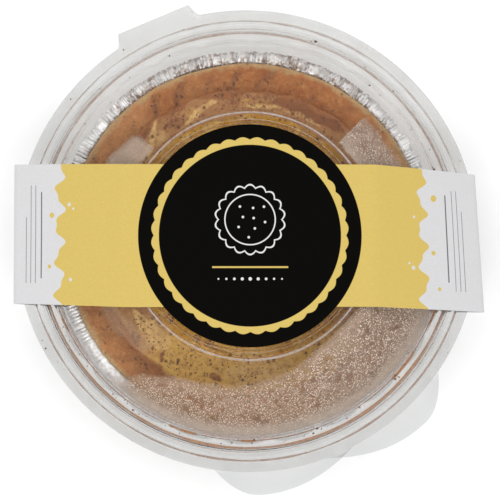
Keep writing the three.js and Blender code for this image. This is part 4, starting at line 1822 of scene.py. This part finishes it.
@dataclass
class Condensation:
    """Mist and drops under the lid's slope."""

    lid: DomedLid
    stretches: tuple[Damp, ...] = (
        Damp(((221.0, 57.0, 58.9), (228.5, 54.2, 58.9), (232, 49.8, 58.9), (236, 47.7, 58.9),
              (240, 46.3, 58.9), (250, 44.6, 58.9), (262, 43.0, 58.9), (270, 42.1, 58.9), (282, 40.2, 58.9),
              (295, 38.2, 58.9), (305, 37.2, 58.9), (352, 37.0, 58.9)),
             1.0, 1.0, 0.10, soft=3.0, outer=0.7, side=17.0),
        Damp(((8, 37.2, 51.6), (33, 37.2, 50.8), (38, 37.2, 50.8), (42, 37.2, 50.6), (46.6, 37.2, 50.0)),
             0.84, 0.75, 0.90, soft=0.8, outer=3.4),
        Damp(((136.5, 37.2, 44.9), (140, 37.2, 46.6), (150, 37.2, 47.6), (168, 37.2, 47.6)),
             0.80, 0.0, 0.60, soft=1.6, outer=2.4, side=2.2),
        Damp(((192, 43.8, 48.6), (205, 44.2, 48.6), (215, 42.0, 48.6), (228.5, 41.6, 46.8)),
             0.20, 0.0, 0.1, soft=1.6, outer=1.6, side=0.7))
    seed: int = 61
    pitch: float = 0.5
    jitter: float = 0.34

    def mist(self) -> Piece:
        """A thin closed film under each stretch, with the amount of mist at each of its points.

        Point (i, j) lies at angle i and at share j of the way from the inner to the outer limit, and
        its height is the inner face of the lid's slope, less a gap. The mist is thinner among drops,
        and greyer low on the slope and towards the right.

        Returns:
            The films as one object.
        """
        skins = []
        for stretch in self.stretches:
            start, end = stretch.outline[0][0], stretch.outline[-1][0]
            columns = int((end - start) * 2.4)
            degrees = np.linspace(start, end, columns)
            low, high = stretch.limits(degrees)
            share = np.linspace(0.0, 1.0, 44)
            radius = low[:, None] + (high - low)[:, None] * share
            angle = degrees[:, None] + 0.0 * radius
            x, y = radius * np.cos(np.radians(angle)), radius * np.sin(np.radians(angle))
            z = self.lid.inner(radius)
            drift = 0.8 * over_map(x, y, 140.0, 20, self.seed, 3) * ease((57.0 - radius) / 6.0)
            amount = stretch.mist * stretch.amount(angle, radius + drift, stretch.soft)
            aside = 0.40 * between(angle, 296.0, 360.0, 24.0)
            grey = np.maximum(stretch.grey + aside, ease((radius - 53.5) / 4.5))
            among = stretch.drops * stretch.amount(angle, radius, 5.5) * ease((57.4 - radius) / 3.4)
            amount = amount * (0.90 - 0.46 * among - 0.24 * self.bare(x, y) * among)
            layers = [np.stack([x, y, z - gap], axis=-1).reshape(-1, 3) for gap in (0.03, 0.06)]
            size = columns * len(share)
            upper = grid_faces(columns, len(share), False, False)
            number = np.arange(size).reshape(columns, len(share))
            rim = np.concatenate([number[0, :-1], number[:-1, -1], number[-1, :0:-1], number[:0:-1, 0]])
            ahead = np.roll(rim, -1)
            walls = np.stack([rim, ahead, ahead + size, rim + size], axis=1)
            faces = np.concatenate([upper[:, ::-1], upper + size, walls[:, ::-1]])
            values = {"mist": np.tile(amount.ravel(), 2), "grey": np.tile(grey.ravel(), 2)}
            skins.append(Skin(np.concatenate(layers), faces.tolist(), values))
        return joined(skins).to_object("mist_film", 60.0)

    def bare(self, x: Array, y: Array) -> Array:
        """1 where drops have run together and away, 0 elsewhere."""
        return ease(over_map(x, y, 140.0, 90, self.seed + 5, 3) * 2.0 - 0.55)

    def lattice(self, rng: np.random.Generator) -> Array:
        """Where the drops hang: the points that are kept of a jittered lattice.

        A point is kept with a chance that grows with the damp, and falls where drops have run away
        and where they are coarse, at the lower right.

        Args:
            rng: Where the random numbers come from.

        Returns:
            Radius, degrees and coarseness of each drop, as (3, drop).
        """
        found = []
        for stretch in self.stretches:
            if stretch.drops <= 0:
                continue
            for i, row in enumerate(np.arange(37.8, 57.4, self.pitch * 0.88)):
                step = math.degrees(self.pitch / row)
                degrees = np.arange(stretch.outline[0][0], stretch.outline[-1][0], step) + (i % 2) * step / 2
                degrees = degrees + rng.uniform(-self.jitter, self.jitter, len(degrees)) * step
                radius = row + rng.uniform(-self.jitter, self.jitter, len(degrees)) * self.pitch
                amount = stretch.amount(degrees, radius, 4.6) * ease((57.8 - radius) / 3.0)
                x, y = radius * np.cos(np.radians(degrees)), radius * np.sin(np.radians(degrees))
                coarse = between(degrees, 292, 346, 26) * between(radius, 42.0, 54.0, 4.0)
                share = amount * (1 - 0.9 * self.bare(x, y)) * (1 - 0.42 * coarse) * stretch.drops
                keep = rng.uniform(0.0, 1.0, len(degrees)) < share
                found.append(np.stack([radius, degrees, coarse], axis=-1)[keep])
        return np.concatenate(found).T

    def drops(self) -> Piece:
        """Drops that hang from the lid's inner slope.

        Each point of a drop carries a shade, painted light and shade across it: 0.34 - 0.42 cos(turn from
        the upper left) at its edge, plus a number of the drop's own.

        Returns:
            The drops as one object.
        """
        rng = np.random.default_rng(self.seed)
        radius, degrees, coarse = self.lattice(rng)
        count = len(radius)
        size = (0.185 + 0.055 * coarse) * rng.uniform(0.6, 1.3, count)
        turn = np.radians(degrees)
        out = polar(1.0, turn, self.lid.rise(radius))
        out /= np.linalg.norm(out, axis=1, keepdims=True)
        side = np.stack([-np.sin(turn), np.cos(turn), 0 * turn], axis=-1)
        frames = np.stack([out, side, np.cross(out, side)], axis=-1) * size[:, None, None]
        shape, faces = self.drop_shape()
        skin = scattered(shape, faces, polar(radius, turn, self.lid.inner(radius) - 0.02), frames, {})
        # Painted highlight towards the upper left of each drop, painted shade away from it.
        ring = turn[:, None] + np.arctan2(shape[:, 1], shape[:, 0]) - math.radians(125.0)
        shade = 0.34 - 0.42 * np.cos(ring) * np.hypot(shape[:, 0], shape[:, 1])
        skin.values["shade"] = np.clip(shade + rng.uniform(-0.40, 0.34, (count, 1)), 0.0, 1.0).ravel()
        return skin.to_object("lid_drops", 50.0)

    @staticmethod
    def drop_shape(around: int = 5) -> tuple[Array, Array]:
        """A hanging drop with a flat top.

        Args:
            around: Points in each of its two rings.

        Returns:
            Its points, 1 from the middle to the edge, and its triangles.
        """
        turn = circle(around)
        rings = [polar(s, turn, z + 0 * turn) for s, z in ((1.0, 0.0), (0.74, -0.42))]
        points = np.concatenate(rings + [np.array([[0, 0, -0.62], [0, 0, 0.0]])])
        here = np.arange(around)
        ahead = np.roll(here, -1)
        lower = here + around
        tip, top = np.full(around, 2 * around), np.full(around, 2 * around + 1)
        sides = [np.stack([here, lower, ahead], 1), np.stack([ahead, lower, ahead + around], 1),
                 np.stack([lower, tip, ahead + around], 1), np.stack([here, ahead, top], 1)]
        return points, np.concatenate(sides)

    def dress(self) -> None:
        """Builds and finishes both kinds of condensation."""
        finish_piece(self.mist(), Slot.CLEAR, Mist().material())
        finish_piece(self.drops(), Slot.CLEAR, BeadedWater().material())


# ---------------------------------------------------------------- paper band


@dataclass
class PaperBand(Part):
    """Printed paper that goes right round the pack, with a round face over the lid's plateau."""

    looks = (Slot.CARD, PrintedPaper(), "paper_band")
    width: float = 41.4
    face_radius: float = 32.4
    top_z: float = 43.10
    fold_x: float = 69.775
    foot_x: float = 49.2
    thickness: float = 0.30
    shoulder: float = 36.4
    skew: float = -0.0588
    drift: tuple[float, float] = (1.5, -1.3)
    across: int = 28

    def route(self) -> tuple[Array, Array]:
        """The band's way round the pack, clockwise from the middle of the top, seen from the front.

        Returns:
            Points (point, 2) as x and height, and the length along the band from the middle of the
            top, positive to the right and negative to the left.
        """
        neck = math.sqrt(self.face_radius ** 2 - (self.width / 2) ** 2)
        curve = self.face_radius * np.sin(np.linspace(0.0, math.asin(neck / self.face_radius), 26))
        flat = [(x, self.top_z) for x in (*curve, neck + 0.4, neck + 2.5)]
        corners = np.array([(neck + 2.5, self.top_z), (self.shoulder, self.top_z), (48.0, 38.35),
                            (58.6, 33.45), (self.fold_x - 0.5, 28.0), (self.fold_x, 26.4),
                            (self.fold_x - 0.6, 24.4), (60.5, 13.8), (self.foot_x + 1.0, 0.6),
                            (self.foot_x - 1.2, 0.155), (6.0, 0.155)])
        slope = rounded_line(corners, (2.2, 6.0, 6.0, 1.2, 0.7, 0.9, 4.0, 0.8, 0.6), 9)
        right = np.concatenate([flat[:-1], slope])
        steps = np.linalg.norm(np.diff(right, axis=0), axis=1)
        run = np.concatenate([[0.0], np.cumsum(steps)])
        left = right[:0:-1] * np.array([-1.0, 1.0])
        return np.concatenate([right, left]), np.concatenate([run, -run[:0:-1]])

    def build(self) -> Piece:
        """Carries a flat section along the route.

        At each station the section runs across the outer face and back across the inner face. Its
        half width is that of the band or, on the top, the round face's chord sqrt(R^2 - x^2) where
        that is more. Towards the folds it drifts sideways and leans by the skew.

        Returns:
            The band's object.
        """
        route, run = self.route()
        ahead, before = np.roll(route, -1, axis=0), np.roll(route, 1, axis=0)
        way = ahead - before
        out = np.stack([-way[:, 1], way[:, 0]], axis=1) / np.linalg.norm(way, axis=1, keepdims=True)
        x, z = route[:, 0], route[:, 1]
        chord = np.sqrt(np.clip(self.face_radius ** 2 - x ** 2, 0.0, None))
        half = np.maximum(self.width / 2, np.where(z > self.top_z - 0.02, chord, 0.0))
        share = np.clip((np.abs(x) - self.shoulder) / (self.fold_x - self.shoulder), 0.0, 1.0)
        drift = np.where(x < 0, self.drift[0], self.drift[1]) * share
        t = np.linspace(1.0, -1.0, self.across)
        section = np.concatenate([t, t[::-1]])
        face = np.concatenate([np.ones(self.across), -np.ones(self.across)])
        ripple = np.sin(run[:, None] * 0.21) * np.cos(section * 2.2)
        lift = face * self.thickness / 2 + 0.16 * ripple * between(np.abs(run), 38, 66, 8)[:, None]
        sideways = section * half[:, None]
        lean = np.where(x > 0, self.skew, 0.0)[:, None] * share[:, None] * sideways
        px = x[:, None] + out[:, :1] * lift + lean
        pz = np.maximum(z[:, None] + out[:, 1:] * lift, 0.0)
        points = np.stack([px, sideways + drift[:, None], pz], axis=-1).reshape(-1, 3)
        ones = np.ones_like(px)
        values = {"along": (run[:, None] * ones).ravel(), "across": sideways.ravel(),
                  "printed": (np.clip(face, 0, 1) * ones).ravel(), "height": pz.ravel()}
        faces = grid_faces(len(route), 2 * self.across, True, True)
        return Skin(points, faces[:, ::-1].tolist(), values).to_object("printed_band", 50.0)


# ---------------------------------------------------------------- studio


@dataclass
class Studio:
    """Pale floor, soft light all round and a camera nearly straight above.

    Eye and aim are in mm. A lamp is its angle in degrees and its power in watts.
    """

    floor_half: float = 4000.0
    eye: tuple[float, float, float] = (-18.14, -32.94, 512.4)
    aim: tuple[float, float, float] = (0.58, -3.24, 26.9)
    lens: float = 117.03
    sensor: float = 36.0
    sky: float = 0.675
    lamps: Rows = ((118, 4.0), (58, 2.6), (-4, 2.8), (-62, 4.4), (-124, 6.4), (176, 3.8))

    def floor(self) -> None:
        """A flat square under the pack."""
        h = self.floor_half
        points = np.array([[-h, -h, 0], [h, -h, 0], [h, h, 0], [-h, h, 0]], float) - [0, 0, 0.02]
        floor = Skin(points, [[0, 1, 2, 3]], {}).to_object("studio_floor", None)
        floor.data.materials.append(PaleFloor().material())

    def sky_light(self) -> None:
        """Even white light from all round."""
        world = bpy.data.worlds.new("soft tent")
        world.use_nodes = True
        background = world.node_tree.nodes["Background"]
        background.inputs["Color"].default_value = (1.0, 1.0, 1.0, 1.0)
        background.inputs["Strength"].default_value = self.sky
        bpy.context.scene.world = world

    def lamp(self, name: str, place: tuple[float, float, float], side: float, watts: float) -> None:
        """A square soft light that faces the pack.

        Args:
            name: Name of the lamp.
            place: Where it stands, in metres.
            side: Its width in metres.
            watts: Its power.
        """
        data = bpy.data.lights.new(name, "AREA")
        data.size = side
        data.energy = watts
        lamp = bpy.data.objects.new(name, data)
        turned = Vector(place).to_track_quat("Z", "Y").to_matrix().to_4x4()
        lamp.matrix_world = Matrix.Translation(place) @ turned
        lamp.visible_camera = False
        bpy.context.scene.collection.objects.link(lamp)

    def camera(self) -> None:
        """Looks from the eye to the aim, with the picture's side along +X."""
        eye, aim = Vector(self.eye) * MM, Vector(self.aim) * MM
        forward = (aim - eye).normalized()
        right = (Vector((1, 0, 0)) - forward * forward.x).normalized()
        up = right.cross(forward)
        turn = Matrix((right, up, -forward)).transposed().to_4x4()
        data = bpy.data.cameras.new("camera")
        data.lens, data.sensor_width = self.lens, self.sensor
        data.clip_start, data.clip_end = 0.01, 100.0
        camera = bpy.data.objects.new("camera", data)
        camera.matrix_world = Matrix.Translation(eye) @ turn
        bpy.context.scene.collection.objects.link(camera)
        bpy.context.scene.camera = camera

    def build(self) -> None:
        """Sets up floor, light, camera and how light becomes picture."""
        self.floor()
        self.sky_light()
        for degrees, watts in self.lamps:
            turn = math.radians(degrees)
            self.lamp(f"softbox {degrees}", (1.05 * math.cos(turn), 1.05 * math.sin(turn), 1.7), 0.9, watts)
        self.camera()
        scene = bpy.context.scene
        scene.view_settings.view_transform = "Standard"
        scene.view_settings.look = "None"
        scene.cycles.max_bounces = 20
        scene.cycles.transmission_bounces = 20
        scene.cycles.transparent_max_bounces = 24


def main() -> None:
    """Builds the studio and the pack's pieces in order."""
    logging.basicConfig(level=logging.INFO, format="%(name)s: %(message)s")
    Studio().build()
    flange = Flange()
    tray, lid = ClearTray(flange), DomedLid(flange)
    pie = Axis(0.02, -0.90)
    fill = CustardFill(pie)
    parts = (tray, lid, FoilTin(Axis(-0.05, -0.42)), PastryCase(pie), fill, NutmegSpecks(fill),
             LooseCrumbs(lid), CreaseLines(), Condensation(lid), PaperBand())
    for part in parts:
        part.dress()


if __name__ == "__main__":
    main()
